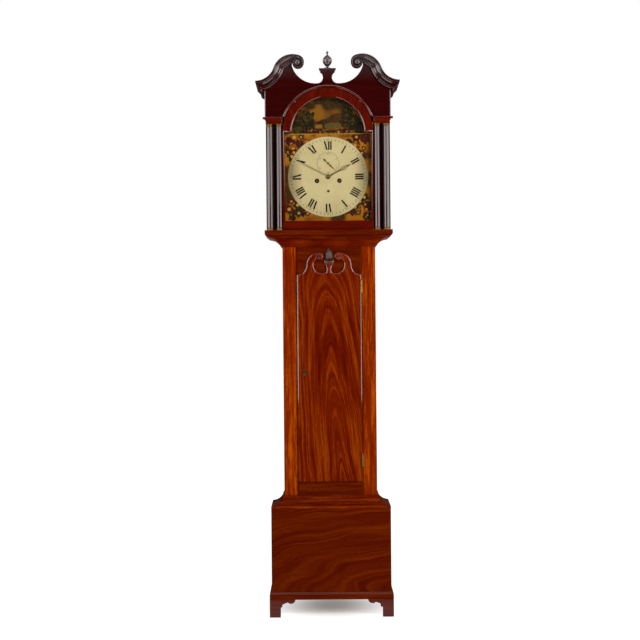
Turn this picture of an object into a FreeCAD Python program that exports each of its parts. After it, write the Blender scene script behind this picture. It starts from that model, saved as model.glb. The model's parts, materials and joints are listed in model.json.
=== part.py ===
import FreeCAD, Part
import math
import os
import Sketcher

Vector = FreeCAD.Vector

# Eight-day striking longcase clock in mahogany, with a painted break-arch dial.
# X runs to the viewer's right, Y to the back and Z up; the feet stand on Z = 0.
# Depths are measured forwards from the back of the case.

SIZES = [
    ("hood_depth", 265, "back of the case to the front of the fascia"),
    ("cornice_projection", 33, "cornice beyond the fascia, front and sides"),
    ("cornice_height", 37, "height of the cornice moulding"),
    ("foot_height", 66, "floor to the plinth"),
    ("plinth_height", 28, "height of the plinth moulding"),
    ("plinth_projection", 8, "plinth beyond the base"),
    ("foot_wing", 96, "length of a bracket foot along the case"),
    ("foot_leg", 41, "width of a foot on the floor"),
    ("foot_board", 18, "thickness of a bracket"),
    ("base_half", 223, "half the width of the base"),
    ("base_depth", 250, "depth of the base"),
    ("base_top", 404, "height of the top of the base"),
    ("base_board", 16, "thickness of the base boards"),
    ("base_moulding_height", 44, "height of the moulding between base and trunk"),
    ("floor_rise", 4, "floor board above the feet"),
    ("floor_board", 12, "thickness of the floor board"),
    ("trunk_half", 174, "half the width of the trunk"),
    ("trunk_depth", 200, "depth of the trunk"),
    ("trunk_tenon", 24, "trunk boards below the top of the base"),
    ("trunk_top", 1381, "underside of the throat moulding"),
    ("trunk_board", 14, "thickness of the trunk sides"),
    ("front_board", 16, "thickness of the trunk's front frame"),
    ("back_board", 10, "thickness of the backboard"),
    ("throat_height", 39, "height of the throat moulding"),
    ("throat_projection", 56, "throat moulding beyond the trunk"),
    ("door_overlap", 3.5, "door's lip over the edge of its opening"),
    ("movement_drop", 89, "seat board's top below the dial's centre"),
    ("seat_board_thickness", 20, "thickness of the seat board"),
    ("door_half", 121, "half the width of the trunk door's lip"),
    ("door_foot", 97, "bottom of the trunk door above the base"),
    ("door_head", 105, "shoulder of the trunk door below the throat moulding"),
    ("door_cove", 36, "radius of the hollow above the shoulder"),
    ("door_neck", 49, "radius of the neck that carries the scroll"),
    ("door_scroll", 16, "radius of the scroll on the door"),
    ("door_bay", 30.4, "radius of the bay beside the acorn's stem"),
    ("door_lip", 9, "thickness of the door's lip"),
    ("door_gap", 0.6, "space between the lip and the frame"),
    ("door_tongue", 10, "depth of the door inside its opening"),
    ("door_play", 2, "space around the tongue"),
    ("door_axis_inset", 0.5, "trunk door's hinge axis inside its edge"),
    ("door_axis_ahead", 4.8, "trunk door's hinge axis ahead of the frame"),
    ("knuckle_radius", 4, "radius of a hinge knuckle"),
    ("hinge_half", 24, "half the height of a hinge"),
    ("hinge_upper_drop", 46, "upper hinge below the door's shoulder"),
    ("hinge_lower_rise", 78, "lower hinge above the door's bottom"),
    ("lock_rise", 409, "keyhole above the door's bottom"),
    ("lock_inset", 26, "keyhole inside the door's edge"),
    ("hood_base_reach", 7, "hood's base beyond its sides"),
    ("runner_play", 2, "space between the trunk and the hood's runners"),
    ("hood_base_height", 21, "height of the hood's base"),
    ("column_bay", 60, "arch's edge to the outside of the hood"),
    ("hood_board", 14, "thickness of the hood's sides"),
    ("stile_play", 1.8, "space between the hood's stiles and the hood door"),
    ("hood_stile_board", 13, "thickness of the hood's stiles"),
    ("block_rise", 34, "underside of the blocks above the arches' centre"),
    ("block_height", 27, "height of the blocks over the columns"),
    ("block_play", 1.6, "space between the blocks and the hood door"),
    ("block_reach", 11, "blocks' moulding beyond the hood's sides"),
    ("block_projection", 8, "blocks in front of the fascia"),
    ("column_inner_inset", 11.5, "inner columns outside the arch's edge"),
    ("column_outer_inset", 15, "outer columns inside the hood's sides"),
    ("column_inset", 14.8, "columns' axes behind the front of the blocks"),
    ("column_radius", 11, "radius of a column"),
    ("column_brass", 12.4, "radius of the brass caps and bases"),
    ("column_brass_height", 11, "height of a brass cap or base"),
    ("frieze_board", 3.4, "thickness of the frieze on the hood's sides"),
    ("fascia_board", 20, "thickness of the fascia"),
    ("dial_spring", 7, "arches' centre below the shoulders of the dial"),
    ("arch_play", 2.3, "space around the hood door in the arch"),
    ("bead_width", 9, "width of the bead around the arch"),
    ("bead_height", 4, "bead in front of the fascia"),
    ("horn_rise", 132, "top of the cornice above the blocks"),
    ("neck_hollow", 72, "radius of the hollow part of the swan neck"),
    ("neck_round", 75, "radius of the round part of the swan neck"),
    ("neck_rise", 22.7, "centre of the round part above the cornice"),
    ("neck_cap", 15, "depth of the neck where it caps the fascia"),
    ("volute_radius", 27, "radius of the volute"),
    ("bowl_run", 83.9, "hollow between volute and finial, inwards from the round part"),
    ("bowl_rise", 59.8, "centre of that hollow above the round part's"),
    ("bowl_radius", 90, "radius of that hollow"),
    ("finial_waist", 17, "half the waist of the finial's plinth"),
    ("finial_cap_half", 31.6, "half the width of the finial's cap"),
    ("finial_cap_rise", 12.3, "underside of the finial's cap above the round part's centre"),
    ("finial_cap_height", 13, "height of the finial's cap"),
    ("finial_height", 67.6, "height of the finial on its cap"),
    ("finial_radius", 17.5, "largest radius of the finial"),
    ("roof_drop", 31, "top of the hood's roof below the cornice's top"),
    ("roof_board", 10, "thickness of the roof board"),
    ("door_stile", 7.7, "width of the hood door's stiles"),
    ("door_sill_play", 1.5, "space under the hood door"),
    ("dial_rebate", 4, "dial's edge behind the hood door's stiles"),
    ("door_rail", 32.5, "width of the hood door's bottom rail"),
    ("glass_spring", 4, "shoulder of the glass above the arches' centre"),
    ("arch_rebate", 5, "dial's arch behind the hood door's"),
    ("glass_board", 2.5, "thickness of the glass"),
    ("glass_inset", 15, "back of the glass behind the front of the hood door"),
    ("pivot_inset", 1.5, "hood door's pivot in from its edge and face"),
    ("pivot_radius", 1.2, "radius of a pivot pin"),
    ("dial_rise", 36, "bottom of the dial above the hood's floor"),
    ("dial_half", 165, "half the width of the dial"),
    ("dial_shoulder", 25, "width of the dial's shoulders"),
    ("dial_ahead", 23, "back of the dial ahead of the front plate"),
    ("dial_board", 2, "thickness of the dial plate"),
    ("winding_x", 42, "winding holes from the middle"),
    ("winding_z", 15, "winding holes below the centre"),
    ("winding_hole", 7.5, "radius of a winding hole"),
    ("seconds_z", 50, "seconds arbor above the centre"),
    ("date_z", 54, "date hole below the centre"),
    ("date_hole", 4, "radius of the date hole"),
    ("plate_half", 86, "half the width of the movement's plates"),
    ("plate_rise", 95, "top of the plates above the dial's centre"),
    ("plate_board", 3, "thickness of a plate"),
    ("plate_distance", 62, "space between the plates"),
    ("plate_inset", 15, "back of the front plate behind the trunk's front"),
    ("pillar_radius", 5, "radius of a pillar"),
    ("dial_foot_radius", 3, "radius of a dial foot"),
    ("running_play", 0.06, "radial play of an arbor in its hole"),
    ("barrel_radius", 21, "radius of a barrel"),
    ("barrel_back_play", 11, "barrels ahead of the back plate"),
    ("barrel_front_play", 15, "barrels behind the front plate"),
    ("winding_arbor", 4, "radius of a winding arbor"),
    ("great_teeth", 96, "teeth of the going great wheel"),
    ("strike_teeth", 84, "teeth of the strike great wheel"),
    ("strike_module", 0.85, "module of the strike great wheel"),
    ("center_pinion", 8, "leaves of the centre pinion"),
    ("center_teeth", 60, "teeth of the centre wheel"),
    ("center_module", 0.9, "module of the centre wheel"),
    ("third_pinion", 8, "leaves of the third pinion"),
    ("third_teeth", 56, "teeth of the third wheel"),
    ("third_module", 0.85, "module of the third wheel"),
    ("escape_pinion", 7, "leaves of the escape pinion"),
    ("escape_teeth", 30, "teeth of the escape wheel"),
    ("escape_radius", 19, "radius of the escape wheel"),
    ("cannon_teeth", 40, "teeth of the cannon and minute wheels"),
    ("minute_pinion", 6, "leaves of the minute pinion"),
    ("hour_teeth", 72, "teeth of the hour wheel"),
    ("motion_distance", 30, "minute arbor below the centre"),
    ("pallet_z", 78, "pallet arbor above the centre"),
    ("wheel_board", 2.5, "thickness of a wheel"),
    ("arbor_radius", 2, "radius of an arbor"),
    ("hand_board", 0.8, "thickness of a hand"),
    ("hour_hand_length", 96, "length of the hour hand"),
    ("minute_hand_length", 131, "length of the minute hand"),
    ("seconds_hand_length", 40, "length of the seconds hand"),
    ("pendulum_length", 994, "pivot to the middle of the bob"),
    ("pendulum_behind", 39, "pendulum behind the back plate"),
    ("bob_radius", 52, "radius of the bob"),
    ("bob_half", 13, "half the thickness of the bob"),
    ("rod_radius", 2.5, "radius of the pendulum rod"),
    ("weight_radius", 27.5, "radius of a weight"),
    ("weight_clearance", 22, "space under a weight that has run down"),
    ("weight_height", 250, "height of a weight"),
    ("pulley_radius", 18, "radius of a pulley at the line"),
    ("pulley_rise", 62, "pulley's axis above its weight"),
    ("line_radius", 0.8, "radius of a gut line"),
    ("bell_radius", 50, "radius of the bell's rim"),
    ("bell_rise", 29, "bell's rim above the plates"),
    ("bell_height", 34, "height of the bell"),
    ("bell_wall", 3, "thickness of the bell"),
    ("hammer_x", 64, "hammer arbor left of the middle"),
    ("hammer_rise", 48, "hammer arbor above the dial's centre"),
]

doc = FreeCAD.newDocument("longcase_clock")
sheet = doc.addObject("Spreadsheet::Sheet", "Sizes")


class Size(float):
    """A number together with the spreadsheet formula that gives it."""

    def __new__(cls, value, formula):
        size = super().__new__(cls, value)
        size.formula = formula
        return size

    def __add__(self, other):
        return Size(float(self) + float(other), f"({self.formula} + {formula_of(other)})")

    def __radd__(self, other):
        return Size(float(other) + float(self), f"({formula_of(other)} + {self.formula})")

    def __sub__(self, other):
        return Size(float(self) - float(other), f"({self.formula} - {formula_of(other)})")

    def __rsub__(self, other):
        return Size(float(other) - float(self), f"({formula_of(other)} - {self.formula})")

    def __mul__(self, other):
        return Size(float(self) * float(other), f"({self.formula} * {formula_of(other)})")

    def __rmul__(self, other):
        return Size(float(other) * float(self), f"({formula_of(other)} * {self.formula})")

    def __truediv__(self, other):
        return Size(float(self) / float(other), f"({self.formula} / {formula_of(other)})")

    def __neg__(self):
        return Size(-float(self), f"(-{self.formula})")


def formula_of(value):
    """Spreadsheet formula of a size, or the number itself."""
    if isinstance(value, Size):
        return value.formula
    return repr(float(value))


def root(size):
    """Square root of a size."""
    return Size(math.sqrt(size), f"sqrt({size.formula})")


class Sizes:
    """The spreadsheet's sizes by name."""


for row, (name, number, note) in enumerate(SIZES, start=1):
    sheet.set(f"A{row}", name)
    sheet.set(f"B{row}", str(number))
    sheet.set(f"C{row}", note)
    sheet.setAlias(f"B{row}", name)
    setattr(Sizes, name, Size(number, f"Sizes.{name}"))
doc.recompute()

S = Sizes
BACK = (S.hood_depth + S.cornice_projection) / 2
SPRUNG = S.throat_height + S.trunk_top
HOOD_FLOOR = SPRUNG + S.hood_base_height
NODES = []

# Heights of the base and the trunk that follow from the sizes.
S.floor_low = S.foot_height + S.floor_rise
S.weight_low = S.floor_low + S.floor_board + S.weight_clearance
S.trunk_low = S.base_top - S.trunk_tenon
S.door_low = S.base_top + S.door_foot
S.door_shoulder = S.trunk_top - S.door_head
S.opening_low = S.door_low + S.door_overlap
S.opening_top = S.door_shoulder - S.door_overlap
S.opening_half = S.door_half - S.door_overlap
S.door_axis_x = S.door_half - S.door_axis_inset
S.hinge_upper = S.door_shoulder - S.hinge_upper_drop
S.hinge_lower = S.door_low + S.hinge_lower_rise
S.lock_height = S.door_low + S.lock_rise
S.lock_x = S.door_half - S.lock_inset

# The dial sets the width and the heights of the hood.
S.dial_height = HOOD_FLOOR + S.dial_rise + S.dial_half
S.dial_arch = S.dial_half - S.dial_shoulder
S.arch_height = S.dial_height + S.dial_half - S.dial_spring
S.glass_half = S.dial_half - S.dial_rebate
S.glass_arch = S.dial_arch - S.arch_rebate
S.glass_shoulder = S.arch_height + S.glass_spring
S.glass_door_low = HOOD_FLOOR + S.door_sill_play
S.glass_low = S.glass_door_low + S.door_rail
S.glass_door_half = S.glass_half + S.door_stile
S.arch_radius = S.glass_door_half + S.arch_play
S.hood_stile_inner = S.glass_door_half + S.stile_play
S.block_inner = S.glass_door_half + S.block_play
S.hood_half = S.arch_radius + S.column_bay
S.hood_base_half = S.hood_half + S.hood_base_reach
S.hood_base_inner = S.trunk_half + S.runner_play
S.column_inner = S.arch_radius + S.column_inner_inset
S.column_outer = S.hood_half - S.column_outer_inset
S.fascia_half = S.hood_half + S.frieze_board
S.block_half = S.hood_half + S.block_reach
S.block_low = S.arch_height + S.block_rise
S.block_top = S.block_low + S.block_height

# The swan necks leave the horns of the cornice and meet their round parts at a tangent.
S.horn_x = S.fascia_half + S.cornice_projection
S.horn_z = S.block_top + S.horn_rise
S.neck_z = S.horn_z + S.neck_rise
neck_reach = S.neck_hollow + S.neck_round
neck_drop = S.neck_hollow - S.neck_rise
S.neck_x = S.horn_x - root(neck_reach * neck_reach - neck_drop * neck_drop)
S.bowl_x = S.neck_x - S.bowl_run
S.bowl_z = S.neck_z + S.bowl_rise
S.finial_cap_low = S.neck_z + S.finial_cap_rise
S.finial_cap_top = S.finial_cap_low + S.finial_cap_height
S.finial_top = S.finial_cap_top + S.finial_height
S.roof_top = S.horn_z - S.roof_drop

# Depths of the hood and of the movement.
S.hood_frame_depth = S.hood_depth - S.fascia_board
S.glass_door_board = S.fascia_board
S.block_depth = S.hood_depth + S.block_projection
S.column_depth = S.block_depth - S.column_inset
S.glass_depth = S.hood_depth - S.glass_inset
S.plate_front = S.trunk_depth - S.plate_inset
S.plate_back = S.plate_front - S.plate_distance - S.plate_board
S.dial_back = S.plate_front + S.plate_board + S.dial_ahead
S.barrel_back = S.plate_back + S.plate_board + S.barrel_back_play
S.barrel_front = S.plate_front - S.barrel_front_play
S.pendulum_depth = S.plate_back - S.pendulum_behind
S.plate_top = S.dial_height + S.plate_rise
S.cheek_top = S.dial_height - S.movement_drop - S.seat_board_thickness
S.bell_low = S.plate_top + S.bell_rise
S.hammer_z = S.dial_height + S.hammer_rise
SEAT_TOP = S.cheek_top + S.seat_board_thickness


def ahead(depth):
    """Y of a plane that lies a depth in front of the back of the case."""
    return BACK - depth


def bind(obj, prop, value):
    """Drive a property by a size."""
    obj.setExpression(prop, formula_of(value))


def place(obj, x, y, z):
    """Drive an object's position by sizes."""
    for axis, value in zip("xyz", (x, y, z)):
        obj.setExpression(f"Placement.Base.{axis}", formula_of(value))


def node(obj):
    """Keep a finished sub-part for export."""
    NODES.append(obj)
    return obj


def board(name, x, depth, z):
    """Straight board between low and high x, back and front depth, low and high z."""
    box = doc.addObject("Part::Box", name)
    bind(box, "Length", x[1] - x[0])
    bind(box, "Width", depth[1] - depth[0])
    bind(box, "Height", z[1] - z[0])
    place(box, x[0], ahead(depth[1]), z[0])
    return box


def rod(name, radius, x, depth, z):
    """Round bar that runs forwards from one depth to another."""
    bar = doc.addObject("Part::Cylinder", name)
    bar.Placement.Rotation = FreeCAD.Rotation(Vector(1, 0, 0), 90)
    bind(bar, "Radius", radius)
    bind(bar, "Height", depth[1] - depth[0])
    place(bar, x, ahead(depth[0]), z)
    return bar


def post(name, radius, x, depth, z):
    """Round bar that stands upright between two heights."""
    bar = doc.addObject("Part::Cylinder", name)
    bind(bar, "Radius", radius)
    bind(bar, "Height", z[1] - z[0])
    place(bar, x, ahead(depth), z[0])
    return bar


def fuse(name, parts):
    """One solid out of several."""
    joined = doc.addObject("Part::MultiFuse", name)
    joined.Shapes = parts
    joined.Refine = True
    return joined


def cut(name, base, tools):
    """A solid with others taken out of it."""
    tool = tools[0]
    if len(tools) > 1:
        tool = group(f"{name}_tools", tools)
    result = doc.addObject("Part::Cut", name)
    result.Base = base
    result.Tool = tool
    return result


def group(name, parts):
    """Several like pieces under one name."""
    bundle = doc.addObject("Part::Compound", name)
    bundle.Links = parts
    return bundle


def both(name, make):
    """A left and a right piece of one kind."""
    return group(name, [make(f"{name}_left", -1), make(f"{name}_right", 1)])


def span(sign, inner, outer):
    """Low and high x of a piece on the left or the right."""
    if sign > 0:
        return inner, outer
    return -outer, -inner


def mirror(name, source, normal):
    """Mirror image through the middle planes of the case."""
    image = doc.addObject("Part::Mirroring", name)
    image.Source = source
    image.Normal = normal
    return image


def corner(x, z, radius=0):
    """Corner of an outline; a radius bends the edge that leaves it, left if positive."""
    return x, z, radius


def symmetric(half):
    """Closed outline from its right half, listed from the bottom upwards."""
    left = []
    for index in range(len(half) - 1, -1, -1):
        x, z, _ = half[index]
        bend = half[index - 1][2] if index else 0
        left.append((-x, z, bend))
    right = list(half)
    if float(half[-1][0]) == 0:
        right.pop()
    if float(half[0][0]) == 0:
        left.pop()
    return right + left


def arc_between(start, end, radius):
    """Shorter arc between two points, turning left for a positive radius."""
    chord = end - start
    middle = (start + end) * 0.5
    left = Vector(-chord.y, chord.x, 0).normalize()
    rise = math.sqrt(max(radius * radius - chord.Length * chord.Length / 4, 0))
    center = middle + left * math.copysign(rise, radius)
    first, last = (start, end) if radius > 0 else (end, start)
    low = math.atan2(first.y - center.y, first.x - center.x)
    high = math.atan2(last.y - center.y, last.x - center.x)
    if high < low:
        high += 2 * math.pi
    return Part.ArcOfCircle(Part.Circle(center, Vector(0, 0, 1), abs(radius)), low, high)


def dimension(sketch, kind, edge, point, value):
    """Dimension of a sketch point, driven by a size."""
    number = sketch.addConstraint(Sketcher.Constraint(kind, edge, point, float(value)))
    if isinstance(value, Size):
        sketch.setExpression(f"Constraints[{number}]", value.formula)


def draw(sketch, outline):
    """Draw a closed outline of lines and arcs with every corner dimensioned."""
    first = sketch.GeometryCount
    count = len(outline)
    ends = []
    for index, (x, z, radius) in enumerate(outline):
        following = outline[(index + 1) % count]
        start = Vector(x, z, 0)
        end = Vector(following[0], following[1], 0)
        if radius:
            sketch.addGeometry(arc_between(start, end, float(radius)))
        else:
            sketch.addGeometry(Part.LineSegment(start, end))
        ends.append((2, 1) if radius < 0 else (1, 2))
    for index, (x, z, radius) in enumerate(outline):
        following = (index + 1) % count
        edge = first + index
        joint = Sketcher.Constraint("Coincident", edge, ends[index][1],
                                    first + following, ends[following][0])
        sketch.addConstraint(joint)
        dimension(sketch, "DistanceX", edge, ends[index][0], x)
        dimension(sketch, "DistanceY", edge, ends[index][0], z)
        if radius:
            bend = radius if radius > 0 else -radius
            number = sketch.addConstraint(Sketcher.Constraint("Radius", edge, float(bend)))
            if isinstance(bend, Size):
                sketch.setExpression(f"Constraints[{number}]", bend.formula)


def draw_hole(sketch, x, z, radius):
    """Draw a dimensioned circle."""
    edge = sketch.GeometryCount
    sketch.addGeometry(Part.Circle(Vector(x, z, 0), Vector(0, 0, 1), float(radius)))
    dimension(sketch, "DistanceX", edge, 3, x)
    dimension(sketch, "DistanceY", edge, 3, z)
    number = sketch.addConstraint(Sketcher.Constraint("Radius", edge, float(radius)))
    if isinstance(radius, Size):
        sketch.setExpression(f"Constraints[{number}]", radius.formula)


def new_sketch(body, name, role):
    """Sketch on one of a body's own planes."""
    sketch = body.newObject("Sketcher::SketchObject", name)
    plane = [item for item in body.Origin.OriginFeatures if item.Role == role][0]
    sketch.AttachmentSupport = [(plane, "")]
    sketch.MapMode = "FlatFace"
    return sketch


def cut_board(name, outline, depth, holes=(), windows=()):
    """Board sawn to an outline seen from the front, with holes and windows."""
    body = doc.addObject("PartDesign::Body", name)
    sketch = new_sketch(body, f"{name}_outline", "XZ_Plane")
    draw(sketch, outline)
    for x, z, radius in holes:
        draw_hole(sketch, x, z, radius)
    for window in windows:
        draw(sketch, window)
    pad = body.newObject("PartDesign::Pad", f"{name}_pad")
    pad.Profile = sketch
    bind(pad, "Length", depth[1] - depth[0])
    body.Tip = pad
    place(body, 0, ahead(depth[0]), 0)
    return body


def turned(name, profile, x, depth, z):
    """Turned piece from its half profile of radius and height."""
    body = doc.addObject("PartDesign::Body", name)
    sketch = new_sketch(body, f"{name}_profile", "XZ_Plane")
    draw(sketch, profile)
    lathe = body.newObject("PartDesign::Revolution", f"{name}_turning")
    lathe.Profile = sketch
    lathe.ReferenceAxis = (sketch, ["V_Axis"])
    lathe.Angle = 360
    body.Tip = lathe
    place(body, x, ahead(depth), z)
    return body


def planed(name, outline, rotation, place_at, direction, length):
    """Straight length of a profile."""
    sketch = doc.addObject("Sketcher::SketchObject", f"{name}_profile")
    sketch.Placement.Rotation = rotation
    draw(sketch, outline)
    place(sketch, *place_at)
    run = doc.addObject("Part::Extrusion", name)
    run.Base = sketch
    run.DirMode = "Custom"
    run.Dir = direction
    run.Solid = True
    bind(run, "LengthFwd", length)
    return run


FRONT_VIEW = FreeCAD.Rotation(Vector(1, 0, 0), Vector(0, 0, 1), Vector(0, -1, 0), "XYZ")
LEFT_VIEW = FreeCAD.Rotation(Vector(-1, 0, 0), Vector(0, 0, 1), Vector(0, 1, 0), "XYZ")
END_VIEW = FreeCAD.Rotation(Vector(0, -1, 0), Vector(0, 0, 1), Vector(-1, 0, 0), "XYZ")
PLAN_VIEW = FreeCAD.Rotation()


def mitred(name, run, plan, low, height):
    """A length of moulding with its ends cut to a plan."""
    prism = planed(f"{name}_mitre", plan, PLAN_VIEW, (0, 0, low), Vector(0, 0, 1), height)
    piece = doc.addObject("Part::Common", name)
    piece.Base = run
    piece.Tool = prism
    return piece


def moulding(name, profile, half, depth, low, height, reach, front=True):
    """Moulding around the front and both sides, mitred at the corners."""
    pieces = []
    outer = half + reach
    if front:
        run = planed(f"{name}_front_run", profile, END_VIEW, (outer, ahead(depth), low),
                     Vector(-1, 0, 0), outer * 2)
        plan = symmetric([corner(outer, ahead(depth + reach)), corner(half, ahead(depth))])
        pieces.append(mitred(f"{name}_front", run, plan, low, height))
    for label, sign, view in (("left", -1, LEFT_VIEW), ("right", 1, FRONT_VIEW)):
        run = planed(f"{name}_{label}_run", profile, view, (half * sign, BACK, low),
                     Vector(0, -1, 0), depth + reach)
        plan = [corner(half * sign, BACK), corner(half * sign, ahead(depth)),
                corner(outer * sign, ahead(depth + reach)), corner(outer * sign, BACK)]
        pieces.append(mitred(f"{name}_{label}", run, plan, low, height))
    return group(name, pieces)


def gear_points(teeth, module, thickness, addendum, dedendum):
    """Corners of a toothed rim: radial flanks up to the pitch circle, then a pointed crown."""
    pitch = module * teeth / 2
    half = thickness / pitch
    points = []
    for tooth in range(int(teeth)):
        turn = 2 * math.pi * tooth / teeth
        flank = [(pitch - dedendum, half), (pitch, half), (pitch + 0.65 * addendum, 0.62 * half),
                 (pitch + addendum, 0.2 * half)]
        points += [(radius, turn - angle) for radius, angle in flank]
        points += [(radius, turn + angle) for radius, angle in reversed(flank)]
    return points


def toothed(name, points, phase, x, depth, z):
    """Solid toothed disc at an arbor, with its first tooth at an angle from the X axis."""
    corners = [Vector(r * math.cos(a + phase), 0, r * math.sin(a + phase)) for r, a in points]
    face = Part.Face(Part.makePolygon(corners + corners[:1]))
    disc = doc.addObject("Part::Feature", name)
    disc.Shape = face.extrude(Vector(0, float(depth[0] - depth[1]), 0))
    place(disc, x, ahead(depth[0]), z)
    return disc


def wheel(name, teeth, module, phase, x, depth, z):
    """Brass wheel."""
    points = gear_points(teeth, float(module), 0.72 * module, 1.25 * module, 1.6 * module)
    return toothed(name, points, phase, x, depth, z)


def pinion(name, leaves, module, phase, x, depth, z):
    """Steel pinion."""
    points = gear_points(leaves, float(module), 0.5 * module, 0.75 * module, 1.65 * module)
    return toothed(name, points, phase, x, depth, z)


def meshed(phase, teeth, other_teeth, bearing):
    """Phase of a wheel whose space takes the tooth of another wheel on a given bearing."""
    return bearing + math.pi - ((phase - bearing) * teeth + math.pi) / other_teeth


# Base and trunk.

def make_feet():
    outer = S.base_half + S.plinth_projection
    front = S.base_depth + S.plinth_projection
    leg = S.foot_leg
    wing = S.foot_wing
    bracket = [corner(0, 0), corner(leg, 0), corner(leg, 32, -22), corner(leg + 11, 50),
               corner(leg + 26, 56, 17), corner(wing, S.foot_height), corner(0, S.foot_height)]
    facing = planed("foot_front", bracket, LEFT_VIEW, (outer, ahead(front - S.foot_board), 0),
                    Vector(0, -1, 0), S.foot_board)
    side_view = FreeCAD.Rotation(Vector(0, 1, 0), Vector(0, 0, 1), Vector(1, 0, 0), "XYZ")
    siding = planed("foot_side", bracket, side_view, (outer - S.foot_board, ahead(front), 0),
                    Vector(1, 0, 0), S.foot_board)
    right = fuse("foot_front_right", [facing, siding])
    left = mirror("foot_front_left", right, Vector(1, 0, 0))
    corner_post = (outer, ahead(0), 0)
    rear_facing = planed("foot_back", bracket, LEFT_VIEW, corner_post, Vector(0, -1, 0), S.foot_board)
    rear_siding = planed("foot_back_side", bracket, END_VIEW, corner_post, Vector(-1, 0, 0), S.foot_board)
    rear_right = fuse("foot_rear_right", [rear_facing, rear_siding])
    rear_left = mirror("foot_rear_left", rear_right, Vector(1, 0, 0))
    node(group("bracket_feet", [left, right, rear_left, rear_right]))


def make_base():
    half = S.base_half
    inner = half - S.base_board
    height = (S.foot_height, S.base_top)
    node(board("base_front", (-half, half), (S.base_depth - S.base_board, S.base_depth), height))
    node(both("base_sides", lambda name, sign: board(
        name, span(sign, inner, half), (S.back_board, S.base_depth - S.base_board), height)))
    node(board("base_floor", (-inner, inner), (S.back_board, S.base_depth - S.base_board),
               (S.floor_low, S.floor_low + S.floor_board)))
    reach = half - S.trunk_half
    rise = S.base_moulding_height
    cove = [corner(0, 0), corner(reach, 0), corner(reach, 8), corner(reach - 5, 10, -44),
            corner(7, rise - 6), corner(7, rise), corner(0, rise)]
    node(moulding("base_moulding", cove, S.trunk_half, S.trunk_depth, S.base_top, rise, reach))
    edge = S.plinth_projection
    slope = [corner(0, 0), corner(edge, 0), corner(edge, S.plinth_height - 9),
             corner(2, S.plinth_height - 1), corner(0, S.plinth_height - 1)]
    node(moulding("plinth_moulding", slope, half, S.base_depth, S.foot_height, S.plinth_height, edge))


def make_trunk():
    half = S.trunk_half
    ears_low = both("backboard_base_ears", lambda name, sign: board(
        name, span(sign, half, S.base_half), (0, S.back_board), (S.foot_height, S.base_top)))
    ear_edge = S.hood_half - S.hood_board - 1
    back_top = S.roof_top - S.roof_board - 5
    ears_high = both("backboard_hood_ears", lambda name, sign: board(
        name, span(sign, half, ear_edge), (0, S.back_board), (HOOD_FLOOR + 1, back_top)))
    middle = board("backboard_middle", (-half, half), (0, S.back_board), (S.foot_height, back_top))
    node(group("backboard", [middle, ears_low, ears_high]))
    frame_back = S.trunk_depth - S.front_board
    node(both("trunk_sides", lambda name, sign: board(
        name, span(sign, half - S.trunk_board, half), (S.back_board, frame_back),
        (S.trunk_low, S.cheek_top))))

    def stile(name, sign):
        plain = board(f"{name}_plain", span(sign, S.opening_half, half), (frame_back, S.trunk_depth),
                      (S.trunk_low, SPRUNG))
        if sign < 0:
            return plain
        slots = [board(f"{name}_slot_{label}", (S.door_axis_x - 0.6, S.door_axis_x + 0.6),
                       (frame_back + 4, S.trunk_depth), (height - S.hinge_half, height + S.hinge_half))
                 for label, height in (("upper", S.hinge_upper), ("lower", S.hinge_lower))]
        return cut(name, plain, slots)

    node(both("trunk_stiles", stile))
    top_rail = board("trunk_top_rail", (-S.opening_half, S.opening_half), (frame_back, S.trunk_depth),
                     (S.opening_top, SPRUNG))
    low_rail = board("trunk_low_rail", (-S.opening_half, S.opening_half), (frame_back, S.trunk_depth),
                     (S.trunk_low, S.opening_low))
    node(group("trunk_rails", [top_rail, low_rail]))
    reach = S.throat_projection
    rise = S.throat_height
    cove = [corner(0, 0), corner(4, 0), corner(4, 4), corner(8, 5, -50), corner(reach - 5, rise - 6),
            corner(reach - 5, rise - 3), corner(reach, rise - 3), corner(reach, rise), corner(0, rise)]
    node(moulding("throat_moulding", cove, half, S.trunk_depth, S.trunk_top, rise, reach))
    seat = board("seat_plain", (-half, half), (S.plate_back - 14, S.trunk_depth - 8),
                 (S.cheek_top, SEAT_TOP))
    going, striking = line_places()
    middle_depth = (S.barrel_back + S.barrel_front) / 2
    holes = [post(f"seat_hole_{index}", 4, x, middle_depth, (S.cheek_top - 1, SEAT_TOP + 1))
             for index, x in enumerate(going + striking)]
    node(cut("seat_board", seat, holes))


def line_places():
    """X of the falling and the fixed part of the going line, then of the strike line."""
    fall = S.barrel_radius + S.line_radius
    loop = S.pulley_radius * 2
    going = (S.winding_x - fall, S.winding_x - fall + loop)
    striking = (-S.winding_x - fall, loop - S.winding_x - fall)
    return going, striking


# Trunk door.

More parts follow.
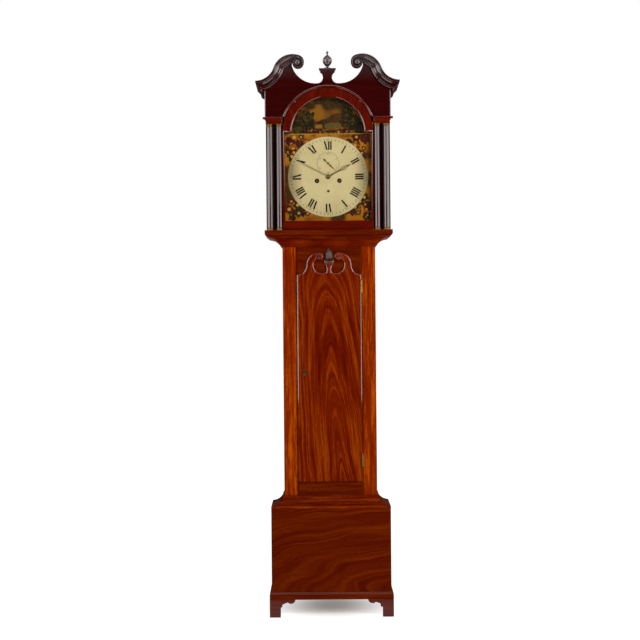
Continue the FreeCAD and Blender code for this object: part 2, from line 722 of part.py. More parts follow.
def make_trunk_door():
    half = S.door_half
    shoulder = S.door_shoulder
    hollow_top = shoulder + S.door_cove
    neck_x = half - S.door_cove
    scroll_x = neck_x - S.door_neck
    scroll_z = hollow_top + S.door_neck - S.door_scroll
    turn = S.door_scroll
    part = turn * math.sqrt(0.5)
    lip_outline = symmetric([
        corner(half, S.door_low), corner(half, shoulder, -S.door_cove),
        corner(neck_x, hollow_top, S.door_neck), corner(scroll_x, hollow_top + S.door_neck, turn),
        corner(scroll_x - turn, scroll_z, turn), corner(scroll_x, scroll_z - turn, turn),
        corner(scroll_x + part, scroll_z - part, -S.door_bay),
        corner(scroll_x - 9, shoulder + 5.2, -S.door_bay), corner(9.8, shoulder + 10),
        corner(8.5, shoulder + 21), corner(18, shoulder + 46), corner(18, shoulder + 56)])
    lip_back = S.trunk_depth + S.door_gap
    lip_front = lip_back + S.door_lip
    tongue_back = lip_back - S.door_tongue
    keyhole = (-S.lock_x, S.lock_height, 2.6)
    lip = cut_board("trunk_door_lip", lip_outline, (lip_back, lip_front), [keyhole])
    inside = S.opening_half - S.door_play
    tongue_outline = symmetric([corner(inside, S.opening_low + S.door_play),
                                corner(inside, S.opening_top - S.door_play)])
    tongue = cut_board("trunk_door_tongue", tongue_outline, (tongue_back, lip_back), [keyhole])
    whole = fuse("trunk_door_blank", [lip, tongue])
    notches = [board(f"trunk_door_notch_{label}", (inside, half + 1), (lip_back - 1, lip_front + 1),
                     (middle - S.hinge_half - 0.5, middle + S.hinge_half + 0.5))
               for label, middle in (("upper", S.hinge_upper), ("lower", S.hinge_lower))]
    node(cut("trunk_door", whole, notches))

    acorn_low = shoulder + 56
    acorn = turned("door_acorn_turned", [
        corner(0, 0), corner(19, 0), corner(20, 6), corner(14, 10, 22), corner(9, 34), corner(2.5, 39),
        corner(0, 43)], 0, lip_back + 1, acorn_low)
    trim = board("door_acorn_half", (-30, 30), (lip_back, lip_front + 24),
                 (acorn_low - 1, acorn_low + 50))
    half_acorn = doc.addObject("Part::Common", "door_acorn")
    half_acorn.Base = acorn
    half_acorn.Tool = trim
    raised = (lip_front, lip_front + 3)
    rosettes = [rod(f"door_rosette_{label}", turn - 4, scroll_x * sign, raised, scroll_z)
                for label, sign in (("left", -1), ("right", 1))]
    node(group("door_carving", [half_acorn] + rosettes))

    axis_depth = S.trunk_depth + S.door_axis_ahead
    pin = 1.6
    third = S.hinge_half * 2 / 3
    fixed = []
    moving = []
    for label, middle in (("upper", S.hinge_upper), ("lower", S.hinge_lower)):
        low = middle - S.hinge_half
        high = middle + S.hinge_half
        leaf = board(f"frame_leaf_{label}", (S.door_axis_x - 0.6, S.door_axis_x + 0.6),
                     (S.trunk_depth - S.front_board + 4, axis_depth), (low, high))
        lower = post(f"frame_knuckle_low_{label}", S.knuckle_radius, S.door_axis_x, axis_depth,
                     (low, low + third))
        upper = post(f"frame_knuckle_top_{label}", S.knuckle_radius, S.door_axis_x, axis_depth,
                     (high - third, high))
        space = post(f"frame_leaf_space_{label}", S.knuckle_radius + 0.35, S.door_axis_x, axis_depth,
                     (low + third, high - third))
        cut_leaf = cut(f"frame_leaf_cut_{label}", leaf, [space])
        spindle = post(f"frame_pin_{label}", pin, S.door_axis_x, axis_depth, (low, high))
        fixed.append(fuse(f"frame_hinge_{label}", [cut_leaf, lower, upper, spindle]))
        knuckle = post(f"door_knuckle_{label}", S.knuckle_radius, S.door_axis_x, axis_depth,
                       (low + third + 0.3, high - third - 0.3))
        web = board(f"door_leaf_{label}", (inside, S.door_axis_x), (axis_depth - 1, axis_depth + 1),
                    (low + third + 0.3, high - third - 0.3))
        bore = post(f"door_bore_{label}", pin + S.running_play, S.door_axis_x, axis_depth, (low, high))
        blank = fuse(f"door_hinge_blank_{label}", [knuckle, web])
        moving.append(cut(f"door_hinge_{label}", blank, [bore]))
    node(group("trunk_frame_hinges", fixed))
    node(group("trunk_door_hinges", moving))

    case_back = tongue_back - 12
    case = board("lock_case_blank", (-inside + 2, -S.lock_x + 20), (case_back, tongue_back),
                 (S.lock_height - 30, S.lock_height + 30))
    bolt_depth = (case_back + 2, case_back + 5)
    bolt_way = board("lock_bolt_way", (-inside - 5, -S.lock_x + 16),
                     (bolt_depth[0] - 0.3, bolt_depth[1] + 0.3),
                     (S.lock_height - 9.3, S.lock_height + 9.3))
    key_way = rod("lock_key_way", 2.6, -S.lock_x, (case_back + 1, tongue_back + 1), S.lock_height)
    lock_case = cut("lock_case", case, [bolt_way, key_way])
    node(board("trunk_lock_bolt", (-inside + 2, -S.lock_x + 8), bolt_depth,
               (S.lock_height - 9, S.lock_height + 9)))
    escutcheon = symmetric([corner(0, -12), corner(5, -10, 18), corner(5, 7, 8), corner(0, 12)])
    drop = [corner(x - S.lock_x, z + S.lock_height, bend) for x, z, bend in escutcheon]
    plate = cut_board("escutcheon", drop, (lip_front, lip_front + 1), [keyhole])
    node(group("trunk_lock", [lock_case, plate]))


# Hood.

def make_hood():
    reach = S.hood_base_half - S.hood_base_inner
    rise = S.hood_base_height
    round_edge = [corner(0, 0), corner(reach - 8, 0, 8), corner(reach, 8), corner(reach, rise),
                  corner(0, rise)]
    node(moulding("hood_base_frame", round_edge, S.hood_base_inner, S.block_depth - reach, SPRUNG,
                  rise, reach))
    wall = S.hood_half - S.hood_board
    roof_low = S.roof_top - S.roof_board
    sides = [board(f"hood_side_{label}", span(sign, wall, S.hood_half), (0, S.hood_frame_depth),
                   (HOOD_FLOOR, S.roof_top)) for label, sign in (("left", -1), ("right", 1))]
    friezes = [board(f"hood_frieze_{label}", span(sign, S.hood_half, S.fascia_half),
                     (0, S.hood_frame_depth), (S.block_top, S.horn_z))
               for label, sign in (("left", -1), ("right", 1))]
    node(group("hood_sides", sides + friezes))
    node(both("hood_stiles", lambda name, sign: board(
        name, span(sign, S.hood_stile_inner, wall),
        (S.hood_frame_depth - S.hood_stile_board, S.hood_frame_depth), (HOOD_FLOOR, S.block_top))))
    node(board("hood_roof", (-wall, wall), (0, S.hood_frame_depth), (roof_low, S.roof_top)))

    block = [corner(S.block_inner, S.block_low), corner(S.hood_half, S.block_low),
             corner(S.hood_half, S.block_low + 8, -14), corner(S.block_half - 2, S.block_top - 6),
             corner(S.block_half, S.block_top - 6), corner(S.block_half, S.block_top),
             corner(S.block_inner, S.block_top)]
    right = planed("column_block_right", block, FRONT_VIEW, (0, ahead(S.hood_frame_depth), 0),
                   Vector(0, -1, 0), S.block_depth - S.hood_frame_depth)
    left = mirror("column_block_left", right, Vector(1, 0, 0))
    node(group("column_blocks", [left, right]))

    shafts = []
    brasses = []
    shaft_low = HOOD_FLOOR + S.column_brass_height
    shaft_top = S.block_low - S.column_brass_height
    depth = S.column_depth
    for label, x in (("outer_left", -S.column_outer), ("inner_left", -S.column_inner),
                     ("inner_right", S.column_inner), ("outer_right", S.column_outer)):
        shafts.append(post(f"column_{label}", S.column_radius, x, depth, (shaft_low, shaft_top)))
        for end, low, lip_low in (("base", HOOD_FLOOR, HOOD_FLOOR), ("cap", shaft_top, S.block_low - 5)):
            ring = post(f"brass_{end}_{label}", S.column_radius + 0.7, x, depth,
                        (low, low + S.column_brass_height))
            rim = post(f"brass_{end}_rim_{label}", S.column_brass, x, depth, (lip_low, lip_low + 5))
            brasses.append(fuse(f"column_brass_{end}_{label}", [ring, rim]))
    node(group("hood_columns", shafts))
    node(group("column_brasses", brasses))

    make_pediment()
    rise = S.block_top - S.arch_height
    inner = S.arch_radius
    outer = inner + S.bead_width
    inner_half = root(inner * inner - rise * rise)
    outer_half = root(outer * outer - rise * rise)
    ring = [corner(inner_half, S.block_top), corner(outer_half, S.block_top, outer),
            corner(0, S.arch_height + outer, outer), corner(-outer_half, S.block_top),
            corner(-inner_half, S.block_top, -inner), corner(0, S.arch_height + inner, -inner)]
    node(cut_board("arch_bead", ring, (S.hood_depth, S.hood_depth + S.bead_height)))


def neck_geometry():
    """Centres of the swan neck's arcs and the angles at which they meet."""
    hollow = Vector(S.horn_x, 0, S.horn_z + S.neck_hollow)
    crown = Vector(S.neck_x, 0, S.neck_z)
    to_hollow = hollow - crown
    meet = math.atan2(to_hollow.z, to_hollow.x)
    return hollow, crown, meet


def make_pediment():
    foot = S.block_top - S.arch_height
    arch_half = root(S.arch_radius * S.arch_radius - foot * foot)
    meet = neck_geometry()[2]
    cap = S.neck_cap + 0.2
    wide = S.neck_hollow + cap
    small = S.neck_round - cap
    offset = S.horn_x - S.fascia_half
    edge_z = S.horn_z + S.neck_hollow - root(wide * wide - offset * offset)
    meet_x = S.neck_x + small * math.cos(meet)
    meet_z = S.neck_z + small * math.sin(meet)
    bowl_start_z = S.neck_z + S.neck_round - S.cornice_height
    bowl_rise = S.bowl_z - bowl_start_z
    bowl_start_x = S.bowl_x + root(S.bowl_radius * S.bowl_radius - bowl_rise * bowl_rise)
    waist = S.finial_waist
    foot_x = waist + (S.bowl_x - waist) * 0.57
    low_z = S.bowl_z - S.bowl_radius
    half = [
        corner(arch_half, S.block_top), corner(S.fascia_half, S.block_top),
        corner(S.fascia_half, edge_z, -wide), corner(meet_x, meet_z, small),
        corner(S.neck_x, S.neck_z + small), corner(bowl_start_x, bowl_start_z, -S.bowl_radius),
        corner(S.bowl_x, low_z, -S.bowl_radius), corner(foot_x, low_z + 0.8, -22),
        corner(waist, low_z + 24, -20), corner(waist + 11, S.finial_cap_low)]
    outline = symmetric(half)
    outline[-1] = corner(-arch_half, S.block_top, -S.arch_radius)
    outline.append(corner(0, S.arch_height + S.arch_radius, -S.arch_radius))
    node(cut_board("hood_fascia", outline, (S.hood_frame_depth, S.hood_depth)))

    node(swan_neck("swan_neck_right", 1))
    node(swan_neck("swan_neck_left", -1))

    reach = S.cornice_projection
    tall = S.cornice_height
    profile = [corner(0, 0), corner(6, 0), corner(6, 3), corner(9, 4, 14), corner(20, 14, -16),
               corner(29, 28), corner(29, 31), corner(reach, 31), corner(reach, tall), corner(0, tall)]
    node(moulding("cornice_returns", profile, S.fascia_half, S.hood_depth, S.horn_z - tall, tall, reach,
                  front=False))

    cap_board = board("finial_cap", (-S.finial_cap_half, S.finial_cap_half),
                      (S.hood_frame_depth - 6, S.hood_depth + 6), (S.finial_cap_low, S.finial_cap_top))
    tip = S.finial_top - S.finial_cap_top
    urn = turned("finial_urn", [
        corner(0, 0), corner(12, 0), corner(12, 3), corner(6.5, 4.5, 34), corner(S.finial_radius, 30, 26),
        corner(5.5, 49.5), corner(3.6, 52), corner(5.8, 57), corner(4, 63), corner(0, tip)],
        0, (S.hood_frame_depth + S.hood_depth) / 2, S.finial_cap_top)
    node(group("finial", [cap_board, urn]))


def swan_neck(name, sign):
    """Scrolled cornice moulding: the cornice profile swept along two arcs into a volute."""
    hollow, crown, meet = neck_geometry()
    cap = float(S.neck_cap)
    tall = float(S.cornice_height)
    thick = float(S.fascia_board)
    reach = float(S.cornice_projection)
    front = float(ahead(S.hood_depth))
    edge = [(0, -thick), (0, reach), (6, reach), (6, 29), (9, 29)]
    swell = [(16, 25), (23, 20), (28, 12.5), (33, 9)]
    foot = [(34, 6), (tall, 6), (tall, 0), (cap, 0), (cap, -thick)]

    def section(center, down):
        """Profile in the upright plane through an arc's centre."""
        radius = float(S.neck_hollow) if down else float(S.neck_round)
        way = -1 if down else 1
        corners = []
        for drop, forward in edge + swell + foot:
            distance = radius + drop if down else radius - drop
            corners.append(Vector(center.x, front - forward, center.z + way * distance))
        return Part.Face(Part.makePolygon(corners + corners[:1]))

    depth_axis = Vector(0, 1, 0)
    lower = section(hollow, True).revolve(hollow, depth_axis, 90 - math.degrees(meet))
    face = section(crown, False)
    outer_part = face.revolve(crown, depth_axis, 90 - math.degrees(meet))
    inner_part = face.revolve(crown, depth_axis, -21.6)
    volute = float(S.volute_radius)
    lean = math.radians(111.6)
    gap = float(S.neck_round) - volute
    eye = Vector(crown.x + gap * math.cos(lean), front, crown.z + gap * math.sin(lean))
    drum = Part.makeCylinder(volute, reach - 6, eye, Vector(0, -1, 0))
    boss = Part.makeCone(volute * 0.45, volute * 0.3, 6, eye + Vector(0, 6 - reach, 0), Vector(0, -1, 0))
    solid = outer_part.fuse([inner_part, drum, boss, lower]).removeSplitter()
    horn = float(S.fascia_half) + reach
    corners = [Vector(0, front + thick, 0), Vector(0, front - reach, 0), Vector(horn, front - reach, 0),
               Vector(float(S.fascia_half), front, 0), Vector(float(S.fascia_half), front + thick, 0)]
    prism = Part.Face(Part.makePolygon(corners + corners[:1])).extrude(Vector(0, 0, 3000))
    solid = solid.common(prism)
    if sign < 0:
        solid = solid.mirror(Vector(0, 0, 0), Vector(1, 0, 0))
    neck = doc.addObject("Part::Feature", name)
    neck.Shape = solid
    return neck


def make_hood_door():
    half = S.glass_door_half
    crown = S.arch_height + half
    door = symmetric([corner(half, S.glass_door_low), corner(half, S.arch_height, half),
                      corner(0, crown, half)])
    spring = S.glass_shoulder - S.arch_height
    arch_half = root(S.glass_arch * S.glass_arch - spring * spring)
    window = symmetric([corner(S.glass_half, S.glass_low), corner(S.glass_half, S.glass_shoulder),
                        corner(arch_half, S.glass_shoulder, S.glass_arch),
                        corner(0, S.arch_height + S.glass_arch, S.glass_arch)])
    back = S.hood_depth - S.glass_door_board
    blank = cut_board("hood_door_blank", door, (back, S.hood_depth), windows=[window])
    axis_x = half - S.pivot_inset
    axis_depth = S.hood_depth - S.pivot_inset
    hole = S.pivot_radius + S.running_play
    low_hole = post("hood_door_low_hole", hole, axis_x, axis_depth,
                    (S.glass_door_low - 1, S.glass_door_low + 12))
    top_hole = post("hood_door_top_hole", hole, axis_x, axis_depth,
                    (S.arch_height - 10, S.arch_height + 45))
    node(cut("hood_door_frame", blank, [low_hole, top_hole]))
    node(cut_board("hood_glass", window, (S.glass_depth, S.glass_depth + S.glass_board)))
    low_pin = post("hood_pivot_low", S.pivot_radius, axis_x, axis_depth,
                   (HOOD_FLOOR, S.glass_door_low + 11))
    top_pin = post("hood_pivot_top_pin", S.pivot_radius, axis_x, axis_depth,
                   (S.arch_height - 8, S.block_low + 5))
    boss = post("hood_pivot_boss", 1.6, axis_x, axis_depth, (S.block_low + 2, S.block_low + 5))
    lug = board("hood_pivot_lug", (axis_x, S.block_inner), (axis_depth - 1.6, axis_depth + 1.6),
                (S.block_low + 2, S.block_low + 5))
    node(group("hood_door_pivots", [low_pin, fuse("hood_pivot_top", [top_pin, boss, lug])]))


# Movement.

def make_dial():
    center = S.dial_height
    half = S.dial_half
    top = center + half
    rise = top - S.arch_height
    arch_half = root(S.dial_arch * S.dial_arch - rise * rise)
    outline = symmetric([corner(half, center - half), corner(half, top),
                         corner(arch_half, top, S.dial_arch),
                         corner(0, S.arch_height + S.dial_arch, S.dial_arch)])
    holes = [(0, center, 5), (-S.winding_x, center - S.winding_z, S.winding_hole),
             (S.winding_x, center - S.winding_z, S.winding_hole), (0, center + S.seconds_z, 2.2),
             (0, center - S.date_z, S.date_hole)]
    node(cut_board("dial_plate", outline, (S.dial_back, S.dial_back + S.dial_board), holes))


def third_place():
    """Third arbor, from the centre and escape arbors and the wheels' sizes."""
    first = S.center_module * (S.center_teeth + S.third_pinion) / 2
    second = S.third_module * (S.third_teeth + S.escape_pinion) / 2
    rise = (S.seconds_z * S.seconds_z + first * first - second * second) / (2 * S.seconds_z)
    return -root(first * first - rise * rise), rise


def make_frame():
    center = S.dial_height
    third_x, third_rise = third_place()
    play = S.running_play
    thin = S.arbor_radius * 0.6 + play
    thick = S.winding_arbor + play
    winding = center - S.winding_z
    common = [(-S.winding_x, winding, thick), (S.winding_x, winding, thick),
              (third_x, center + third_rise, thin), (-S.hammer_x, S.hammer_z, thin)]
    outline = symmetric([corner(S.plate_half, SEAT_TOP), corner(S.plate_half, S.plate_top)])
    back = cut_board("back_plate", outline, (S.plate_back, S.plate_back + S.plate_board),
                     common + [(0, center, thin), (0, center + S.seconds_z, thin),
                               (0, center + S.pallet_z, 6)])
    front = cut_board("front_plate", outline, (S.plate_front, S.plate_front + S.plate_board),
                      common + [(0, center, S.arbor_radius + play), (0, center + S.seconds_z, thin),
                                (0, center + S.pallet_z, thin), (0, center - S.motion_distance, thin)])
    pieces = [back, front]
    between = (S.plate_back + S.plate_board, S.plate_front)
    for index, (x, z) in enumerate(((-76, 12), (76, 12), (-76, 172), (76, 172))):
        pieces.append(rod(f"pillar_{index}", S.pillar_radius, x, between, SEAT_TOP + z))
    before = (S.plate_front + S.plate_board, S.dial_back)
    for index, (x, z) in enumerate(((-64, 22), (64, 22), (-64, 166), (64, 166))):
        pieces.append(rod(f"dial_foot_{index}", S.dial_foot_radius, x, before, SEAT_TOP + z))
    node(group("movement_frame", pieces))

    arbor = center + S.pallet_z
    cock_front = S.plate_back - 28
    cock_back = S.plate_back - 32
    legs = [board(f"cock_leg_{label}", span(sign, 18, 28), (cock_front, S.plate_back),
                  (arbor - 6, arbor + 8)) for label, sign in (("left", -1), ("right", 1))]
    bridge = board("cock_bridge", (-28, 28), (cock_back, cock_front), (arbor - 6, arbor + 22))
    lug = board("cock_lug", (-9, 9), (S.pendulum_depth - 6, cock_back), (arbor + 6, arbor + 16))
    pivot = rod("cock_pivot", thin, 0, (cock_back - 1, cock_front + 1), arbor)
    slot = board("cock_slot", (-6, 6), (S.pendulum_depth - 2, S.pendulum_depth + 2),
                 (arbor + 5, arbor + 17))
    node(cut("back_cock", fuse("back_cock_blank", legs + [bridge, lug]), [pivot, slot]))

    middle = (S.barrel_back + S.barrel_front) / 2
    rim = S.bell_radius
    wall = S.bell_wall
    tall = S.bell_height
    shell = turned("bell", [
        corner(rim - wall, 0), corner(rim, 0, 58), corner(10, tall), corner(4, tall),
        corner(4, tall - wall), corner(10, tall - wall, -56)], 0, middle, S.bell_low)
    node(shell)
    stem = post("bell_stem", 4, 0, middle, (S.bell_low - 16, S.bell_low + tall + 3))
    nut = post("bell_nut", 8, 0, middle, (S.bell_low + tall, S.bell_low + tall + 4))
    shelf = post("bell_shelf", 8, 0, middle, (S.bell_low + tall - wall - 4, S.bell_low + tall - wall))
    arm = board("bell_arm", (-5, 5), (S.plate_back - 3, middle + 5), (S.bell_low - 19, S.bell_low - 15))
    strap = board("bell_strap", (-5, 5), (S.plate_back - 3, S.plate_back),
                  (S.plate_top - 6, S.bell_low - 15))
    node(fuse("bell_stand", [stem, nut, shelf, arm, strap]))


def make_trains():
    center = S.dial_height
    winding = center - S.winding_z
    back = S.plate_back
    front_face = S.plate_front + S.plate_board
    thickness = S.wheel_board
    thin = S.arbor_radius * 0.6
    third_x, third_rise = third_place()

    apart = root(S.winding_x * S.winding_x + S.winding_z * S.winding_z)
    great_module = 2 * apart / (S.great_teeth + S.center_pinion)
    great_depth = (back + 6, back + 6 + thickness)
    collar = rod("great_bore", S.winding_arbor + S.running_play, S.winding_x, (back, S.plate_front),
                 winding)
    great = wheel("great_toothed", S.great_teeth, great_module, 0.0, S.winding_x, great_depth, winding)
    node(cut("great_wheel", great, [collar]))

    def barrel(name, x, extra):
        drum = rod(f"{name}_drum", S.barrel_radius, x, (S.barrel_back, S.barrel_front), winding)
        flange = rod(f"{name}_flange", S.barrel_radius + 5, x, (S.barrel_front, S.barrel_front + 2),
                     winding)
        arbor = rod(f"{name}_arbor", S.winding_arbor, x, (back, front_face + 4), winding)
        square = board(f"{name}_square", (x - 2.6, x + 2.6), (front_face, S.dial_back - 4),
                       (winding - 2.6, winding + 2.6))
        return fuse(name, [drum, flange, arbor, square] + extra)

    node(barrel("going_barrel", S.winding_x, []))
    strike_wheel = wheel("strike_toothed", S.strike_teeth, S.strike_module, 0.02, -S.winding_x,
                         (S.barrel_back - thickness, S.barrel_back), winding)
    node(barrel("strike_barrel", -S.winding_x, [strike_wheel]))

    great_bearing = math.atan2(float(S.winding_z), -float(S.winding_x))
    center_phase = meshed(0.0, S.great_teeth, S.center_pinion, great_bearing)
    center_arbor = rod("center_arbor", S.arbor_radius, 0,
                       (back + S.plate_board + 0.5, S.dial_back + 10.5), center)
    center_pivot = rod("center_pivot", thin, 0, (back, back + 4), center)
    center_leaves = pinion("center_leaves", S.center_pinion, great_module, center_phase, 0,
                           (back + 5, back + 9.5), center)
    center_depth = (S.plate_front - 10, S.plate_front - 10 + thickness)
    center_rim = wheel("center_toothed", S.center_teeth, S.center_module, 0.0, 0, center_depth, center)
    cannon_module = S.motion_distance / S.cannon_teeth
    cannon_depth = (front_face + 3, front_face + 5)
    cannon = wheel("cannon_toothed", S.cannon_teeth, cannon_module, 0.0, 0, cannon_depth, center)
    pipe = rod("cannon_pipe", 3, 0, (front_face + 3, S.dial_back + 9.5), center)
    node(fuse("center_wheel", [center_arbor, center_pivot, center_leaves, center_rim, cannon, pipe]))

    third_bearing = math.atan2(float(third_rise), float(third_x))
    third_phase = meshed(0.0, S.center_teeth, S.third_pinion, third_bearing)
    third_z = center + third_rise
    third_depth = (S.plate_front - 26, S.plate_front - 26 + thickness)
    third_leaves = pinion("third_leaves", S.third_pinion, S.center_module, third_phase, third_x,
                          (center_depth[0] - 1, center_depth[1] + 1), third_z)
    third_rim = wheel("third_toothed", S.third_teeth, S.third_module, 0.0, third_x, third_depth, third_z)
    third_arbor = rod("third_arbor", thin, third_x, (back, front_face), third_z)
    node(fuse("third_wheel", [third_arbor, third_leaves, third_rim]))

    escape_z = center + S.seconds_z
    escape_bearing = math.atan2(float(escape_z - third_z), -float(third_x))
    escape_phase = meshed(0.0, S.third_teeth, S.escape_pinion, escape_bearing)
    escape_leaves = pinion("escape_leaves", S.escape_pinion, S.third_module, escape_phase, 0,
                           (third_depth[0] - 1, third_depth[1] + 1), escape_z)
    escape_depth = (back + 22, back + 22 + thickness)
    tip = float(S.escape_radius)
    rim_points = []
    for tooth in range(int(S.escape_teeth)):
        turn = 2 * math.pi * tooth / S.escape_teeth
        rim_points += [(tip - 4.5, turn - 0.13), (tip, turn), (tip, turn + 0.012),
                       (tip - 4.5, turn + 0.035)]
    escape_rim = toothed("escape_toothed", rim_points, math.pi / 2 + 0.1, 0, escape_depth, escape_z)
    escape_arbor = rod("escape_arbor", thin, 0, (back, S.dial_back + S.dial_board + 2.4), escape_z)
    node(fuse("escape_wheel", [escape_arbor, escape_leaves, escape_rim]))

    minute_z = center - S.motion_distance
    minute_phase = meshed(0.0, S.cannon_teeth, S.cannon_teeth, -math.pi / 2)
    minute_rim = wheel("minute_toothed", S.cannon_teeth, cannon_module, minute_phase, 0, cannon_depth,
                       minute_z)
    hour_module = 2 * S.motion_distance / (S.minute_pinion + S.hour_teeth)
    minute_leaves = pinion("minute_leaves", S.minute_pinion, hour_module, 0.0, 0,
                           (cannon_depth[1], cannon_depth[1] + 5), minute_z)
    minute_arbor = rod("minute_arbor", thin, 0, (S.plate_front, cannon_depth[0]), minute_z)
    node(fuse("minute_wheel", [minute_arbor, minute_rim, minute_leaves]))
    hour_phase = meshed(0.0, S.minute_pinion, S.hour_teeth, math.pi / 2)
    hour_depth = (cannon_depth[1] + 1.5, cannon_depth[1] + 1.5 + thickness)
    hour_rim = wheel("hour_toothed", S.hour_teeth, hour_module, hour_phase, 0, hour_depth, center)
    hour_pipe = rod("hour_pipe", 4.2, 0, (hour_depth[0], S.dial_back + 6), center)
    hour_bore = rod("hour_bore", 3 + S.running_play, 0, (hour_depth[0] - 1, S.dial_back + 8), center)
    node(cut("hour_wheel", fuse("hour_wheel_blank", [hour_rim, hour_pipe]), [hour_bore]))

    arbor = center + S.pallet_z
    drop = S.pallet_z - S.seconds_z
    pallet_depth = (escape_depth[0] - 1, escape_depth[1] + 1)
    toe = drop - S.escape_radius * math.sqrt(0.5)
    anchor = cut_board("pallet_anchor", [
        corner(-19, -toe - 2), corner(-16, -toe - 1), corner(-12.5, -5.5), corner(12.5, -5.5),
        corner(16, -toe - 1), corner(19, -toe - 2), corner(15.5, 1), corner(6, 5), corner(-6, 5),
        corner(-15.5, 1)], pallet_depth)
    place(anchor, 0, ahead(pallet_depth[0]), arbor)
    pallet_arbor = rod("pallet_arbor", thin, 0, (back - 32, front_face), arbor)
    crutch = board("crutch_rod", (-1.5, 1.5), (back - 20, back - 17), (arbor - 92, arbor))
    fork = [board(f"crutch_fork_{label}", span(sign, 3.2, 5.2), (S.pendulum_depth - 5, back - 17),
                  (arbor - 92, arbor - 88)) for label, sign in (("left", -1), ("right", 1))]
    bar = board("crutch_bar", (-5.2, 5.2), (back - 20, back - 17), (arbor - 92, arbor - 88))
    node(fuse("pallets", [anchor, pallet_arbor, crutch, bar] + fork))

    middle = (S.barrel_back + S.barrel_front) / 2
    hammer_arbor = rod("hammer_arbor", thin, -S.hammer_x, (back, front_face), S.hammer_z)
    reach = S.bell_low + 8
    shank = board("hammer_shank", (-S.hammer_x - 1.5, -S.hammer_x + 1.5), (middle - 1.5, middle + 1.5),
                  (S.hammer_z, reach))
    head = board("hammer_head", (-S.hammer_x - 6, -S.hammer_x + 9), (middle - 5, middle + 5),
                 (reach - 5, reach + 5))
    node(fuse("hammer", [hammer_arbor, shank, head]))


def make_hands():
    center = S.dial_height
    face = S.dial_back + S.dial_board
    hour = hand("hour_hand", S.hour_hand_length, 61.4, 8, 4.2, 12, (face + 3.2, face + 4), center)
    node(cut("hour_hand", hour, [rod("hour_hand_bore", 4.2, 0, (face + 3, face + 4.5), center)]))
    minute = hand("minute_hand", S.minute_hand_length, 298.4, 6, 3, 8, (face + 6.4, face + 7.2), center)
    node(cut("minute_hand", minute, [rod("minute_hand_bore", 3, 0, (face + 6, face + 8), center)]))
    seconds = hand("seconds_hand", S.seconds_hand_length, 135, 3.2, 1.2, 1.6, (face + 1.2, face + 1.8),
                   center + S.seconds_z)
    bore = rod("seconds_hand_bore", S.arbor_radius * 0.6, 0, (face + 1, face + 2.2),
               center + S.seconds_z)
    node(cut("seconds_hand", seconds, [bore]))


def hand(name, length, bearing, boss, stem, swell, depth, z):
    """Flat hand with a round boss, a slim stem and a pointed leaf, at a clock bearing."""
    reach = length * 0.62
    outline = symmetric([corner(0, -boss * 2.2), corner(stem * 0.4, -boss * 2),
                         corner(stem * 0.4, reach), corner(swell * 0.5, length * 0.74),
                         corner(stem * 0.35, length * 0.88), corner(0, length)])
    blade = cut_board(f"{name}_blade", outline, depth)
    blade.Placement.Rotation = FreeCAD.Rotation(Vector(0, 1, 0), bearing)
    place(blade, 0, ahead(depth[0]), z)
    hub = rod(f"{name}_hub", boss, 0, depth, z)
    return fuse(f"{name}_blank", [blade, hub])


# Pendulum, weights and lines.

def make_pendulum():
    pivot = S.dial_height + S.pallet_z
    depth = S.pendulum_depth
    bob_z = pivot - S.pendulum_length
    spring = board("suspension_spring", (-4, 4), (depth - 0.2, depth + 0.2), (pivot - 8, pivot + 22))
    head = board("suspension_head", (-7, 7), (depth - 3, depth + 3), (pivot + 17, pivot + 22))
    shaft = post("pendulum_shaft", S.rod_radius, 0, depth, (bob_z - S.bob_radius - 26, pivot - 4))
    nut = post("rating_nut", 8, 0, depth, (bob_z - S.bob_radius - 14, bob_z - S.bob_radius - 6))
    node(fuse("pendulum_rod", [spring, head, shaft, nut]))
    lens = turned("bob_lens", [
        corner(0, -S.bob_half), corner(10, 0.5 - S.bob_half, 90), corner(S.bob_radius, -2),
        corner(S.bob_radius, 2, 90), corner(10, S.bob_half - 0.5), corner(0, S.bob_half)], 0, depth, bob_z)
    lens.Placement.Rotation = FreeCAD.Rotation(Vector(1, 0, 0), 90)
    bore = post("bob_bore", S.rod_radius + 0.1, 0, depth, (bob_z - 60, bob_z + 60))
    node(cut("pendulum_bob", lens, [bore]))


